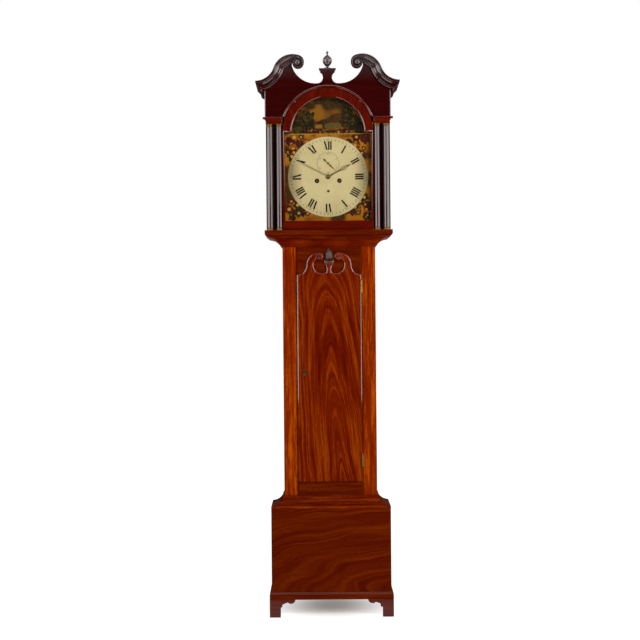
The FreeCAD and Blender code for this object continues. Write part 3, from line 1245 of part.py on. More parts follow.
def make_weights():
    middle = (S.barrel_back + S.barrel_front) / 2
    winding = S.dial_height - S.winding_z
    for label, places in zip(("going", "strike"), line_places()):
        x = (places[0] + places[1]) / 2
        low = S.weight_low
        top = low + S.weight_height
        axis = top + S.pulley_rise
        body = turned(f"{label}_weight_body", [
            corner(0, 0), corner(S.weight_radius - 3, 0), corner(S.weight_radius, 3),
            corner(S.weight_radius, S.weight_height - 6), corner(S.weight_radius - 6, S.weight_height),
            corner(0, S.weight_height)], x, middle, low)
        stem = post(f"{label}_weight_hook", 2.5, x, middle, (top - 1, top + 22))
        bridge = board(f"{label}_stirrup_foot", (x - 4, x + 4), (middle - 8, middle + 8),
                       (top + 20, top + 24))
        cheeks = [board(f"{label}_stirrup_{side}", (x - 4, x + 4), (middle + low_y, middle + low_y + 2),
                        (top + 20, axis + 6)) for side, low_y in (("back", -8), ("front", 6))]
        pin = rod(f"{label}_pulley_pin", 2, x, (middle - 8, middle + 8), axis)
        node(fuse(f"{label}_weight", [body, stem, bridge, pin] + cheeks))
        sheave = rod(f"{label}_sheave", S.pulley_radius - S.line_radius - 0.4, x,
                     (middle - 4, middle + 4), axis)
        rims = [rod(f"{label}_sheave_rim_{side}", S.pulley_radius + 3, x,
                    (middle + low_y, middle + low_y + 2), axis)
                for side, low_y in (("back", -4), ("front", 2))]
        bore = rod(f"{label}_sheave_bore", 2 + S.running_play, x, (middle - 5, middle + 5), axis)
        node(cut(f"{label}_pulley", fuse(f"{label}_sheave_blank", [sheave] + rims), [bore]))
        falling = post(f"{label}_line_falling", S.line_radius, places[0], middle, (axis, winding))
        fixed = post(f"{label}_line_fixed", S.line_radius, places[1], middle, (axis, SEAT_TOP + 4))
        knot = post(f"{label}_line_knot", 5, places[1], middle, (SEAT_TOP, SEAT_TOP + 4))
        node(group(f"{label}_line", [falling, fuse(f"{label}_line_tied", [fixed, knot])]))


make_feet()
make_base()
make_trunk()
make_trunk_door()
make_hood()
make_hood_door()
make_dial()
make_frame()
make_trains()
make_hands()
make_pendulum()
make_weights()
doc.recompute()

for obj in doc.Objects:
    if "Invalid" in obj.State or "Error" in obj.State:
        raise RuntimeError(f"{obj.Label} did not build: {obj.State}")
os.makedirs("parts", exist_ok=True)
for obj in NODES:
    if obj.Shape.isNull() or not obj.Shape.isValid():
        raise RuntimeError(f"{obj.Label} has no valid shape")
    obj.Shape.exportStep(f"parts/{obj.Label}.step")
print(f"{len(NODES)} sub-parts written")
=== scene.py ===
"""Looks of a mahogany longcase clock: finishes, carving, painted dial and hands on its CAD frame."""

import json
import math

import bmesh
import bpy
import numpy as np
from bpy.props import FloatProperty, FloatVectorProperty, PointerProperty
from mathutils import Matrix, Vector


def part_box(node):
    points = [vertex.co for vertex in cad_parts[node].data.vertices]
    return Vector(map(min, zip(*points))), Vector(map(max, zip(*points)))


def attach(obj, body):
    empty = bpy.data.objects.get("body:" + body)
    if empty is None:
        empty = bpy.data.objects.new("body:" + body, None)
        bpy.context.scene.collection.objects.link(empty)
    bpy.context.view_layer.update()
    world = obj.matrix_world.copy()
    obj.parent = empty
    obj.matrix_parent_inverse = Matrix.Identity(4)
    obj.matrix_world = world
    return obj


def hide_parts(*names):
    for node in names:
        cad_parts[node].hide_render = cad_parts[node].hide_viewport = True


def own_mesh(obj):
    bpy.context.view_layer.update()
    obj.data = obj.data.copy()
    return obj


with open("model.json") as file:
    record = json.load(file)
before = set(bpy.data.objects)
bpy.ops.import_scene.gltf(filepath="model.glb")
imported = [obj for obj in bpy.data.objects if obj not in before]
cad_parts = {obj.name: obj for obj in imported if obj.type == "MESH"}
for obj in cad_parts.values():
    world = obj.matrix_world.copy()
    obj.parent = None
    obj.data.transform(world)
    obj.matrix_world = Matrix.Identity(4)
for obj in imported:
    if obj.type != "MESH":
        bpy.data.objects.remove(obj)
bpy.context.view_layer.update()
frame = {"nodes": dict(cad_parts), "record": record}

bl_info = {
    "name": "Longcase clock",
    "version": (1, 0, 0),
    "blender": (4, 5, 0),
    "location": "View3D > Sidebar > Clock",
    "description": "Finishes, carving, painted dial and hands of a longcase clock on its CAD frame",
    "category": "Object",
}

MM = 0.001
NEAR = 0.3 * MM  # An edge this near to a face counts as lying on it.
BODY_OF = {node: body for body, nodes in frame["record"]["behaviour"]["bodies"].items() for node in nodes}


def linear(code):
    """Linear RGBA of an sRGB hex colour."""
    parts = np.array([int(code[i : i + 2], 16) for i in (1, 3, 5)]) / 255
    bright = np.where(parts <= 0.04045, parts / 12.92, ((parts + 0.055) / 1.055) ** 2.4)
    return (*bright.tolist(), 1.0)


def low(node):
    """Lowest corner of a CAD node."""
    return np.array(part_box(node)[0])


def high(node):
    """Highest corner of a CAD node."""
    return np.array(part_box(node)[1])


DIAL_FACE = low("dial_plate")[1]
DIAL_HALF = high("dial_plate")[0]
DIAL_CENTRE = low("dial_plate")[2] + DIAL_HALF
SECONDS_RISE = 50 * MM  # Of the seconds circle above the dial's centre.
ARCH_CENTRE = high("hood_door_frame")[2] - high("hood_door_frame")[0]
FASCIA_FRONT = low("hood_fascia")[1]
DOOR_FRONT = low("trunk_door")[1]
CORNICE_TOP = high("cornice_returns")[2]
VOLUTE = 27 * MM


def length(name, description, default):
    """A length that a user may change."""
    return FloatProperty(name=name, description=description, default=default, unit="LENGTH", precision=4)


def colour(name, description, default):
    """A colour that a user may change."""
    return FloatVectorProperty(
        name=name, description=description, default=linear(default), size=4, subtype="COLOR", min=0, max=1
    )


class ClockSizes(bpy.types.PropertyGroup):
    """Sizes of the pieces that the CAD model leaves to the scene."""

    case_edge: length("Case edge", "Rounding of the case's upright corners", 2.2 * MM)
    door_edge: length("Door edge", "Rounding of the trunk door's lip", 4.2 * MM)
    frame_edge: length("Frame edge", "Rounding of the hood door's opening", 5.5 * MM)
    moulding_edge: length("Moulding edge", "Rounding of the mouldings' arrises", 1.2 * MM)
    disc: length("Dial disc", "Radius of the cream disc of the dial", 151 * MM)
    numeral_foot: length("Numeral foot", "Radius of the feet of the hour numerals", 101 * MM)
    numeral_height: length("Numeral height", "Height of the hour numerals", 32 * MM)
    minute_ring: length("Minute ring", "Radius of the ring of minute marks", 138.5 * MM)
    seconds_ring: length("Seconds ring", "Radius of the seconds circle", 42 * MM)
    hour_hand: length("Hour hand", "Length of the hour hand", 96 * MM)
    minute_hand: length("Minute hand", "Length of the minute hand", 131 * MM)
    seconds_hand: length("Seconds hand", "Length of the seconds hand", 40 * MM)
    gut: length("Gut line", "Radius of a gut line", 0.8 * MM)


class ClockColours(bpy.types.PropertyGroup):
    """Colours of the finishes."""

    stile_dark: colour("Stile dark", "Dark ribbons of the trunk's stiles", "#601500")
    stile: colour("Stile", "Ground of the trunk's stiles", "#762201")
    stile_light: colour("Stile light", "Light ribbons of the trunk's stiles", "#9f4503")
    door_dark: colour("Door dark", "Dark arches of the trunk door's figure", "#4a0900")
    door: colour("Door", "Ground of the trunk door's figure", "#631801")
    door_light: colour("Door light", "Light arches of the trunk door's figure", "#813302")
    base_dark: colour("Base dark", "Dark swirls of the base", "#450b01")
    base: colour("Base", "Ground of the base", "#521401")
    base_light: colour("Base light", "Light swirls of the base", "#602001")
    hood_dark: colour("Hood dark", "Dark ribbons of the hood", "#250303")
    hood: colour("Hood", "Ground of the hood", "#2c0404")
    hood_light: colour("Hood light", "Light ribbons of the hood", "#330504")
    frame_dark: colour("Frame dark", "Dark ribbons of the hood's door and mouldings", "#3a0802")
    frame: colour("Frame", "Ground of the hood's door and mouldings", "#4c0b02")
    frame_light: colour("Frame light", "Light ribbons of the hood's door and mouldings", "#571003")
    # Painted shade: near-black tones for the stiles behind the columns, where little light reaches.
    recess_dark: colour("Recess dark", "Dark ribbons behind the columns", "#0d0101")
    recess: colour("Recess", "Ground behind the columns", "#160202")
    recess_light: colour("Recess light", "Light ribbons behind the columns", "#220403")
    carving_dark: colour("Carving dark", "Hollows of the acorn", "#241511")
    carving: colour("Carving", "Worn ground of the acorn", "#463128")
    carving_light: colour("Carving light", "Rubbed ridges of the acorn", "#66504a")
    pine: colour("Pine", "Boards that do not show", "#b07f4a")
    brass: colour("Brass", "Brass of mounts and wheels", "#6f5430")
    mount: colour("Mounts", "Tarnished brass of the column mounts", "#554329")
    steel: colour("Steel", "Steel of arbors and hammer", "#8a8d92")
    iron: colour("Iron", "Painted iron of the weights", "#3b3836")
    hand: colour("Hands", "Browned brass of the hands", "#64522e")
    cream: colour("Cream", "Aged cream paint of the dial", "#c9b986")
    black: colour("Black", "Black paint of the numerals", "#17130f")
    gut: colour("Gut", "Twisted gut of the lines", "#b79a68")


# Materials.


def add(tree, kind, *values, inputs=None, **settings):
    """Add a node and give its first open output; a socket as a value is linked, any other value is set.

    Values fill the open inputs in order, and inputs names the others.
    """
    item = tree.nodes.new(f"ShaderNode{kind}")
    for key, value in settings.items():
        setattr(item, key, value)
    filled = list(zip([socket for socket in item.inputs if socket.enabled], values))
    filled += [(item.inputs[key], value) for key, value in (inputs or {}).items()]
    for socket, value in filled:
        if isinstance(value, bpy.types.NodeSocket):
            tree.links.new(value, socket)
        else:
            socket.default_value = value
    return next((socket for socket in item.outputs if socket.enabled), None)


def blank(name):
    """A new material, its empty tree and the place of each point in it."""
    material = bpy.data.materials.new(name)
    material.use_nodes = True
    tree = material.node_tree
    tree.nodes.clear()
    return material, tree, add(tree, "TexCoord").node.outputs["Object"]


def surface(material, sockets):
    """End a material with one shader whose sockets are set or linked."""
    tree = material.node_tree
    add(tree, "OutputMaterial", add(tree, "BsdfPrincipled", inputs=sockets))
    return material


def scaled(tone, share):
    """A colour with its three channels scaled."""
    return (*(np.array(tone[:3]) * share).tolist(), 1.0)


def patched(tree, place, size, detail, span, most, tone, other):
    """Lay another colour over a tone in soft patches of a size, as noise rises through a span."""
    noise = add(tree, "TexNoise", place, 1 / size, detail)
    share = add(tree, "MapRange", noise, *span, 0.0, most)
    return add(tree, "Mix", share, tone, other, data_type="RGBA")


def mahogany(
    name, tones, grain, figure="board", ribbon=14 * MM,
    gloss=1.0, polish=0.05, turn_below=None, dust=None, seam=None,
):
    """French-polished mahogany: dark and light ribbons and fine pores along the grain, under a clear gloss.

    The ribbons are soft noise, fast along one line and slow along the grain. The line runs across a board,
    out from a leaning pith for a flat-sawn front (nested arches), and out from a far knot for a swirl. Pores
    are drawn 1 mm wide and 20 mm long, coarser than real ones so that they show, and flecks 4 mm by 16 mm.
    Below a given height the grain can turn to run level, as on the rail of a frame. Between two heights a
    painted grey sheen grows to its most. Painted shade darkens the wood beside a door's seam.
    """
    material, tree, place = blank(name)
    dark, ground, light = tones
    axes = add(tree, "SeparateXYZ", place).node.outputs
    if turn_below:
        level = add(tree, "Math", axes["Z"], turn_below, operation="LESS_THAN")
        laid = add(tree, "CombineXYZ", axes["Z"], axes["Y"], axes["X"])
        place = add(tree, "Mix", level, place, laid, data_type="VECTOR")
        axes = add(tree, "SeparateXYZ", place).node.outputs
    # The line's wander has a field, a size, a reach and a detail; drift slows the noise along the grain, and
    # share is how much of the mottle shows in the ribbons.
    upright = grain == "Z"
    drawn = add(tree, "Mapping", place, inputs={"Scale": (1, 1, 0.05) if upright else (0.05, 1, 1)})
    if figure == "board":
        across = add(tree, "Math", axes["X" if upright else "Z"], axes["Y"], operation="ADD")
        field, size, reach = drawn, 40 * MM, 14 * MM
        detail, drift, share = 3.0, 0.06, 0.4
    else:
        # Where the line starts, and how a point is squeezed before its distance from there is taken.
        centre, squeeze = {
            "arches": ((54 * MM, 0, 0.43), ((1, 0, 0.089), (0, 0, 0.155))),
            "swirl": ((0.30, 0, 0.09), ((0.34, 0, 0), (0, 0, 1))),
        }[figure]
        legs = []
        for row in squeeze:
            out = add(tree, "VectorMath", place, row, operation="DOT_PRODUCT")
            start = sum(c * r for c, r in zip(centre, row))
            legs.append(add(tree, "Math", out, start, operation="SUBTRACT"))
        if figure == "arches":
            steep = add(tree, "Math", legs[1], 0.9, 0.55, operation="MULTIPLY_ADD")
            legs[1] = add(tree, "Math", legs[1], steep, operation="MULTIPLY")
        across = add(tree, "VectorMath", add(tree, "CombineXYZ", *legs), operation="LENGTH")
        field = add(tree, "Mapping", place, inputs={"Scale": (1, 1, 0.3) if upright else (0.4, 1, 1)})
        size, reach = 80 * MM, (34 if upright else 60) * MM
        detail, drift, share = 1.6, 0.02, 0.3
    wander = add(tree, "TexNoise", field, 1 / size, detail, 0.4)
    line = add(tree, "Math", wander, reach, across, operation="MULTIPLY_ADD")
    slow = add(tree, "Math", axes[grain], drift, operation="MULTIPLY")
    course = add(tree, "CombineXYZ", line, slow)
    broad = add(tree, "TexNoise", course, 1 / ribbon, 1.0)
    fine = add(tree, "TexNoise", course, 3.2 / ribbon, 3.0)
    short = add(tree, "Mapping", drawn, inputs={"Scale": (1, 1, 5) if upright else (5, 1, 1)})
    patch = add(tree, "TexNoise", short, 1 / (70 * MM), 4.0)
    streak = add(tree, "TexNoise", drawn, 1 / (5 * MM), 3.0)
    fleck = add(tree, "TexNoise", short, 1 / (4 * MM), 2.0)
    mottle = add(tree, "Mix", 0.35, add(tree, "Mix", 0.5, patch, streak), fleck)
    blended = add(tree, "Mix", share, add(tree, "Mix", 0.45, broad, fine), mottle)
    deep = add(tree, "MapRange", blended, 0.4, 0.5)
    pale = add(tree, "MapRange", blended, 0.5, 0.6)
    tone = add(tree, "Mix", deep, dark, ground, data_type="RGBA")
    tint = add(tree, "Mix", pale, tone, light, data_type="RGBA")
    pore = add(tree, "TexNoise", drawn, 1 / MM, 2.0)
    depth = add(tree, "MapRange", pore, 0.54, 0.72, 0.0, 0.6)
    tinted = add(tree, "Mix", depth, tint, dark, data_type="RGBA")
    # Painted grey sheen: between two heights the colour fades towards grey.
    if dust:
        sheen_share = add(tree, "MapRange", axes["Z"], dust[0], dust[1], 0.0, dust[2])
        tinted = add(tree, "Mix", sheen_share, tinted, linear("#5c5456"), data_type="RGBA")
    # Painted shade beside the door's seam: the wood darkens towards the lip, from 6 mm out to 1.5 mm.
    if seam:
        off = add(tree, "Math", axes["X"], operation="ABSOLUTE")
        painted_shade = add(tree, "MapRange", off, seam + 1.5 * MM, seam + 6 * MM, 0.75, 0.0)
        tinted = add(tree, "Mix", painted_shade, tinted, linear("#160200"), data_type="RGBA")
    return surface(material, {
        "Base Color": tinted,
        "Roughness": add(tree, "MapRange", patch, 0.3, 0.7, 0.24, 0.36),
        "Normal": add(tree, "Bump", inputs={"Height": pore, "Strength": 0.08, "Distance": 0.2 * MM}),
        "Specular IOR Level": 0.0,
        "Coat Weight": gloss,
        "Coat Roughness": polish,
    })


def metal(name, tone, roughness, spot):
    """Worked metal: an even colour with tarnish in soft spots and a roughness that follows them."""
    material, tree, place = blank(name)
    cloud = add(tree, "TexNoise", place, 1 / spot, 4.0)
    share = add(tree, "MapRange", cloud, 0.45, 0.75, 0.0, 0.8)
    shade = add(tree, "Mix", share, tone, scaled(tone, 0.5), data_type="RGBA")
    rough = add(tree, "MapRange", cloud, 0.35, 0.75, roughness * 0.8, roughness * 1.5)
    return surface(material, {"Metallic": 1.0, "Base Color": shade, "Roughness": rough})


def planed_pine(name, tone):
    """Planed softwood with growth rings 6 mm apart, left bare."""
    material, tree, place = blank(name)
    drawn = add(tree, "Mapping", place, inputs={"Scale": (1, 1, 0.04)})
    rings = add(tree, "TexNoise", drawn, 1 / (6 * MM), 3.0, inputs={"Distortion": 0.4})
    share = add(tree, "MapRange", rings, 0.35, 0.65)
    shade = add(tree, "Mix", share, tone, scaled(tone, 0.55), data_type="RGBA")
    raised = add(tree, "Bump", inputs={"Height": rings, "Strength": 0.2, "Distance": 0.3 * MM})
    sockets = {"Base Color": shade, "Roughness": 0.7, "Specular IOR Level": 0.3, "Normal": raised}
    return surface(material, sockets)


def cream_paint(name, tone):
    """Oil paint on sheet iron, yellowed: clouds of 60 mm, hair cracks 70 mm apart, and painted shade at both
    sides.
    """
    material, tree, place = blank(name)
    aged, painted_shade = scaled(tone, (0.86, 0.8, 0.62)), (0.46, 0.43, 0.38, 1.0)
    body = patched(tree, place, 60 * MM, 4.0, (0.4, 0.75), 0.55, tone, aged)
    warp = add(tree, "TexNoise", place, 1 / (25 * MM), 3.0).node.outputs["Color"]
    bent = add(tree, "Mix", 0.05, place, warp, data_type="VECTOR")
    cells = add(tree, "TexVoronoi", bent, 1 / (70 * MM), feature="DISTANCE_TO_EDGE")
    hair = add(tree, "MapRange", cells, 0.0, 0.006, 0.3, 0.0)
    cracked = add(tree, "Mix", hair, body, linear("#5b4a2c"), data_type="RGBA")
    # Painted shade: the paint darkens towards both sides, from 90 mm out to the rim.
    off = add(tree, "Math", add(tree, "SeparateXYZ", place), operation="ABSOLUTE")
    side = add(tree, "MapRange", off, 90 * MM, 152 * MM, interpolation_type="SMOOTHSTEP")
    shaded_sides = add(tree, "Mix", side, cracked, painted_shade, data_type="RGBA", blend_type="MULTIPLY")
    return surface(material, {"Base Color": shaded_sides, "Roughness": 0.42, "Specular IOR Level": 0.08})


def picture_paint(name):
    """Oil colours of the dial's pictures, from the sheet's own attribute, with brush marks of 3 and 5 mm."""
    material, tree, place = blank(name)
    tones = add(tree, "VertexColor", layer_name="paint")
    glaze = patched(tree, place, 3 * MM, 3.0, (0.3, 0.7), 0.22, tones, linear("#2a1a06"))
    shade = patched(tree, place, 5 * MM, 2.0, (0.56, 0.7), 0.3, glaze, linear("#9a6a12"))
    return surface(material, {"Base Color": shade, "Roughness": 0.4, "Specular IOR Level": 0.05})


def black_paint(name, tone):
    """Black oil paint of numerals, a little thin and brown where the brush lifted."""
    material, tree, place = blank(name)
    shade = patched(tree, place, 5 * MM, 3.0, (0.5, 0.8), 0.5, tone, linear("#4a3a26"))
    return surface(material, {"Base Color": shade, "Roughness": 0.45, "Specular IOR Level": 0.05})


def window_glass(name):
    """Old sheet glass: almost invisible from the front, with a slight wave."""
    material, tree, place = blank(name)
    wave = add(tree, "TexNoise", place, 1 / (80 * MM))
    bent = add(tree, "Bump", inputs={"Height": wave, "Strength": 0.15, "Distance": 1 * MM})
    sockets = {"Base Color": linear("#20241f"), "Roughness": 0.03, "Alpha": 0.07, "Specular IOR Level": 0.6}
    return surface(material, {**sockets, "Normal": bent})


def twisted_gut(name, tone):
    """Gut cord: honey-coloured and dull, darker in the lay between its strands 2 mm apart."""
    material, tree, place = blank(name)
    strand = add(tree, "TexNoise", place, 1 / (2 * MM), 2.0)
    shade = add(tree, "Mix", strand, tone, scaled(tone, 0.5), data_type="RGBA")
    return surface(material, {"Base Color": shade, "Roughness": 0.5})


FINISHES = {}


def make_finishes(colours):
    """All finishes of the clock by name."""

    def wood(name, tones, *figure, **finish):
        """Mahogany in the dark, ground and light tone of one of the clock's woods."""
        three = [getattr(colours, tones + end) for end in ("_dark", "", "_light")]
        return mahogany(f"mahogany_{name}", three, *figure, **finish)

    FINISHES.update(
        # The stiles carry painted shade beside the door's seam.
        stile=wood("upright", "stile", "Z", gloss=0.12, seam=high("trunk_door")[0]),
        edge=wood("rubbed_edge", "door", "Z"),
        rail=wood("rail", "base", "X", gloss=0.12),
        door=wood("flat_sawn", "door", "Z", "arches", 8 * MM, 0.12),
        rosette=wood("carved", "door", "Z", gloss=0.25),
        base=wood("swirl", "base", "X", "swirl", 15 * MM, 0.1),
        plinth=wood("plinth", "base", "X", gloss=0.1),
        slope=wood("base_moulding", "door", "X", gloss=0.02),
        # The feet get a painted grey sheen, growing towards the floor.
        foot=wood("sheened_foot", "base", "X", gloss=0.2, dust=(110 * MM, 30 * MM, 0.22)),
        hood=wood("red", "hood", "X", gloss=0.04),
        # The fascia and crest get a painted grey sheen, growing up from the cornice's top.
        fascia=wood("fascia", "hood", "X", gloss=0.08, dust=(CORNICE_TOP, CORNICE_TOP + 120 * MM, 0.25)),
        crest=wood("dusty", "hood", "X", polish=0.12, dust=(CORNICE_TOP, CORNICE_TOP + 140 * MM, 0.45)),
        # Painted shade for the stiles behind the columns.
        recess=wood("recess", "recess", "Z"),
        carving=wood("worn", "carving", "Z", gloss=0.3),
        hood_upright=wood("red_upright", "hood", "Z"),
        moulding=wood("moulding", "frame", "X"),
        # Painted light: the throat takes the door's lighter tones to make up for the little light on its
        # downward-facing cove.
        throat=wood("throat", "door", "X", gloss=0.1),
        hood_frame=wood("frame", "frame", "Z", gloss=0.25, turn_below=low("hood_glass")[2] + 9 * MM),
        pine=planed_pine("planed_pine", colours.pine),
        brass=metal("lacquered_brass", colours.brass, 0.26, 18 * MM),
        mount=metal("tarnished_brass", colours.mount, 0.34, 5 * MM),
        steel=metal("polished_steel", colours.steel, 0.3, 12 * MM),
        hand=metal("browned_brass", colours.hand, 0.38, 6 * MM),
        iron=metal("blackened_iron", colours.iron, 0.5, 25 * MM),
        cream=cream_paint("cream_dial_paint", colours.cream),
        picture=picture_paint("dial_picture_paint"),
        black=black_paint("black_dial_paint", colours.black),
        glass=window_glass("old_sheet_glass"),
        gut=twisted_gut("twisted_gut", colours.gut),
    )


# Shapes.


def grid_faces(rows, columns, closed=False):
    """Quads of a grid of points listed row by row; closed joins the last column to the first."""
    across = np.arange(columns if closed else columns - 1)
    start = np.arange(rows - 1)[:, None] * columns
    near = start + across
    far = start + (across + 1) % columns
    return np.stack([near, far, far + columns, near + columns], axis=-1).reshape(-1, 4)


def joined(shapes):
    """One set of points and quads out of several."""
    starts = np.cumsum([0] + [len(points) for points, quads in shapes[:-1]])
    moved = [quads + start for (points, quads), start in zip(shapes, starts)]
    return np.concatenate([points for points, quads in shapes]), np.concatenate(moved)


def turned(profile, centre, sides, axis="Z"):
    """Surface of revolution: radius and height of a profile turned about an upright or a forward axis."""
    profile = np.asarray(profile, float)
    turn = np.linspace(0, 2 * np.pi, sides, endpoint=False)
    radius = profile[:, :1]
    rise = np.broadcast_to(profile[:, 1:], (len(profile), sides))
    first = radius * np.cos(turn)
    second = radius * np.sin(turn)
    order = (first, second, rise) if axis == "Z" else (first, -rise, second)
    points = np.stack(order, axis=-1).reshape(-1, 3) + np.asarray(centre, float)
    return points, grid_faces(len(profile), sides, closed=True)


def curved(points, steps):
    """Smooth line through points: each span is the cubic that keeps its neighbours' slopes."""
    knots = np.asarray(points, float)
    padded = np.concatenate([2 * knots[:1] - knots[1:2], knots, 2 * knots[-1:] - knots[-2:-1]])
    t = np.linspace(0, 1, steps, endpoint=False)[None, :, None]
    a, b, c, d = (padded[i : len(padded) - 3 + i, None, :] for i in range(4))
    spans = 0.5 * (2 * b + (c - a) * t + (2 * a - 5 * b + 4 * c - d) * t**2 + (3 * b - a - 3 * c + d) * t**3)
    return np.concatenate([spans.reshape(-1, knots.shape[1]), knots[-1:]])


def new_mesh(name, points, faces):
    """Mesh of points and faces."""
    mesh = bpy.data.meshes.new(name)
    mesh.from_pydata(np.asarray(points).tolist(), [], np.asarray(faces).tolist())
    return mesh


def smoothed(form, mesh, sharp):
    """Write an edited form to a mesh, smooth up to an angle."""
    form.to_mesh(mesh)
    form.free()
    mesh.shade_smooth()
    mesh.set_sharp_from_angle(angle=math.radians(sharp))
    return mesh


def set_piece(name, mesh, finish, node=None, body=None, slot=None):
    """Put a mesh into the scene as a piece: in place of a CAD node, or on a body; slot is not used."""
    mesh.materials.append(FINISHES[finish])
    piece = bpy.data.objects.new(name, mesh)
    bpy.context.scene.collection.objects.link(piece)
    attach(piece, body or BODY_OF[node])
    if node:
        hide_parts(node)
    return piece


def carve(name, shape, finish, sharp=35, **place):
    """A new piece out of points and faces, turned outward and smooth up to an angle."""
    mesh = new_mesh(f"{name}_form", *shape)
    form = bmesh.new()
    form.from_mesh(mesh)
    bmesh.ops.remove_doubles(form, verts=form.verts, dist=1e-6)
    bmesh.ops.recalc_face_normals(form, faces=form.faces)
    return set_piece(name, smoothed(form, mesh, sharp), finish, **place)


def coat(node, finish):
    """Give a CAD node its finish."""
    data = frame["nodes"][node].data
    data.materials.clear()
    data.materials.append(FINISHES[finish])


def dress(node, finish, rounding=0.0, chosen=None, edge_finish=None, sharp=32):
    """A merged copy of a CAD node with smooth curves; edges whose ends and middle are chosen are rounded."""
    merge, flat, least_bend = 2e-6, math.radians(0.2), 0.5
    form = bmesh.new()
    form.from_mesh(frame["nodes"][node].data)
    bmesh.ops.remove_doubles(form, verts=form.verts, dist=merge)
    bmesh.ops.dissolve_limit(form, angle_limit=flat, verts=form.verts, edges=form.edges)
    weight = form.edges.layers.float.new("bevel_weight_edge")
    for edge in form.edges if rounding else ():
        start, end = (vertex.co for vertex in edge.verts)
        bent = edge.is_manifold and edge.is_convex and edge.calc_face_angle() > least_bend
        if bent and all(chosen(*point) for point in (start, (start + end) / 2, end)):
            edge[weight] = 1.0
    mesh = smoothed(form, bpy.data.meshes.new(f"{node}_form"), sharp)
    piece = set_piece(f"{node}_polished", mesh, finish, node)
    if rounding:
        mesh.materials.append(FINISHES[edge_finish or finish])
        bevel = piece.modifiers.new("rounding", "BEVEL")
        bevel.material = 1
        bevel.limit_method = "WEIGHT"
        bevel.width = rounding
        bevel.segments = 4
        bevel.use_clamp_overlap = False
        even = piece.modifiers.new("even_flats", "WEIGHTED_NORMAL")
        even.keep_sharp = True


def front_corners(node):
    """Test of whether a point lies on one of the two upright front corners of a node."""
    front, side = low(node)[1] + NEAR, high(node)[0] - NEAR
    return lambda x, y, z: y < front and abs(x) > side


# Pieces of the case.


class CLOCK_OT_case(bpy.types.Operator):
    """Feet, base and trunk with their mouldings"""

    bl_idname = "clock.case"
    bl_label = "Case"

    def execute(self, context):
        sizes = context.scene.clock_sizes
        slope_top = high("base_moulding")[2] - NEAR
        dress("trunk_stiles", "stile", sizes.case_edge, front_corners("trunk_stiles"))
        dress("trunk_sides", "stile")
        dress("trunk_rails", "rail")
        dress("base_front", "base", sizes.case_edge, front_corners("base_front"))
        dress("base_sides", "base")
        dress("base_moulding", "slope", sizes.moulding_edge, lambda x, y, z: z < slope_top)
        dress("throat_moulding", "throat", sharp=20)
        dress("plinth_moulding", "plinth")
        dress("bracket_feet", "foot", sizes.moulding_edge, lambda x, y, z: y < 0)
        for node in ("backboard", "base_floor", "seat_board"):
            coat(node, "pine")
        return {"FINISHED"}


class CLOCK_OT_trunk_door(bpy.types.Operator):
    """Trunk door with its carved rosettes and acorn, hinges and lock"""

    bl_idname = "clock.trunk_door"
    bl_label = "Trunk door"

    def execute(self, context):
        sizes = context.scene.clock_sizes
        side, foot = high("trunk_door")[0], low("trunk_door")[2] + MM
        hinge_top = high("trunk_door_hinges")[2] + MM

        def lip(x, y, z):
            beside_hinge = 0 < x < side - NEAR and foot < z < hinge_top
            below = z < foot and abs(x) < side - MM
            return y < DOOR_FRONT + NEAR and not below and not beside_hinge

        dress("trunk_door", "door", sizes.door_edge, lip, "edge")
        flower_off, flower_height, flower_radius = 36 * MM, 1345 * MM, 15.5 * MM
        flowers, fruit = [], [acorn(DOOR_FRONT, low("door_carving")[2])]
        for hand in (-1, 1):
            flowers.append(rosette(hand * flower_off, DOOR_FRONT, flower_height, flower_radius))
            stalk, tip = (hand * 5 * MM, 1333 * MM), (hand * 14 * MM, 1309 * MM)
            fruit.append(leaf(stalk, tip, width=5.5 * MM))
        carve("door_rosettes", joined(flowers), "rosette", sharp=60, body="trunk_door", slot="mahogany")
        carve("door_acorn", joined(fruit), "carving", sharp=60, node="door_carving")
        for node in ("trunk_door_hinges", "trunk_frame_hinges", "trunk_lock"):
            dress(node, "brass")
        dress("trunk_lock_bolt", "steel")
        return {"FINISHED"}


def rosette(x, front, z, radius):
    """Four-petalled flower: over radius and angle, petals swell where the cosine of four angles is low."""
    rings, sides = 22, 80
    r = np.linspace(0, 1, rings)[:, None]
    turn = np.linspace(0, 2 * np.pi, sides, endpoint=False)[None, :]
    petal = 0.5 - 0.5 * np.cos(4 * turn)
    button = np.exp(-((r / 0.17) ** 2))
    swell = np.sin(np.pi * r**1.3) * petal**0.8
    lift = np.where(r > 0.97, -0.5, 3.4 * swell + 3.0 * button + 0.3) * MM
    reach = radius * r * (0.8 + 0.2 * petal)
    points = np.stack([x + reach * np.cos(turn), front - lift, z + reach * np.sin(turn)], axis=-1)
    return points.reshape(-1, 3), grid_faces(rings, sides, closed=True)


def leaf(start, end, width):
    """Drooping leaf: along its rib it widens and narrows as a sine, and it arches across from rim to rim."""
    rows, sides = 16, 20
    s = np.linspace(0, 1, rows)[:, None]
    t = np.linspace(0, 2 * np.pi, sides, endpoint=False)[None, :]
    rib = np.array(end) - np.array(start)
    side = np.array([-rib[1], rib[0]]) / np.hypot(*rib)
    spread = width * np.sin(np.pi * s) ** 0.8 * np.cos(t)
    thick = np.sin(np.pi * s) ** 0.6 * np.where(np.sin(t) > 0, 3.0, 1.2) * np.sin(t) * MM
    x = start[0] + rib[0] * s + side[0] * spread
    z = start[1] + rib[1] * s + side[1] * spread
    points = np.stack([x, DOOR_FRONT - thick, z], axis=-1)
    return points.reshape(-1, 3), grid_faces(rows, sides, closed=True)


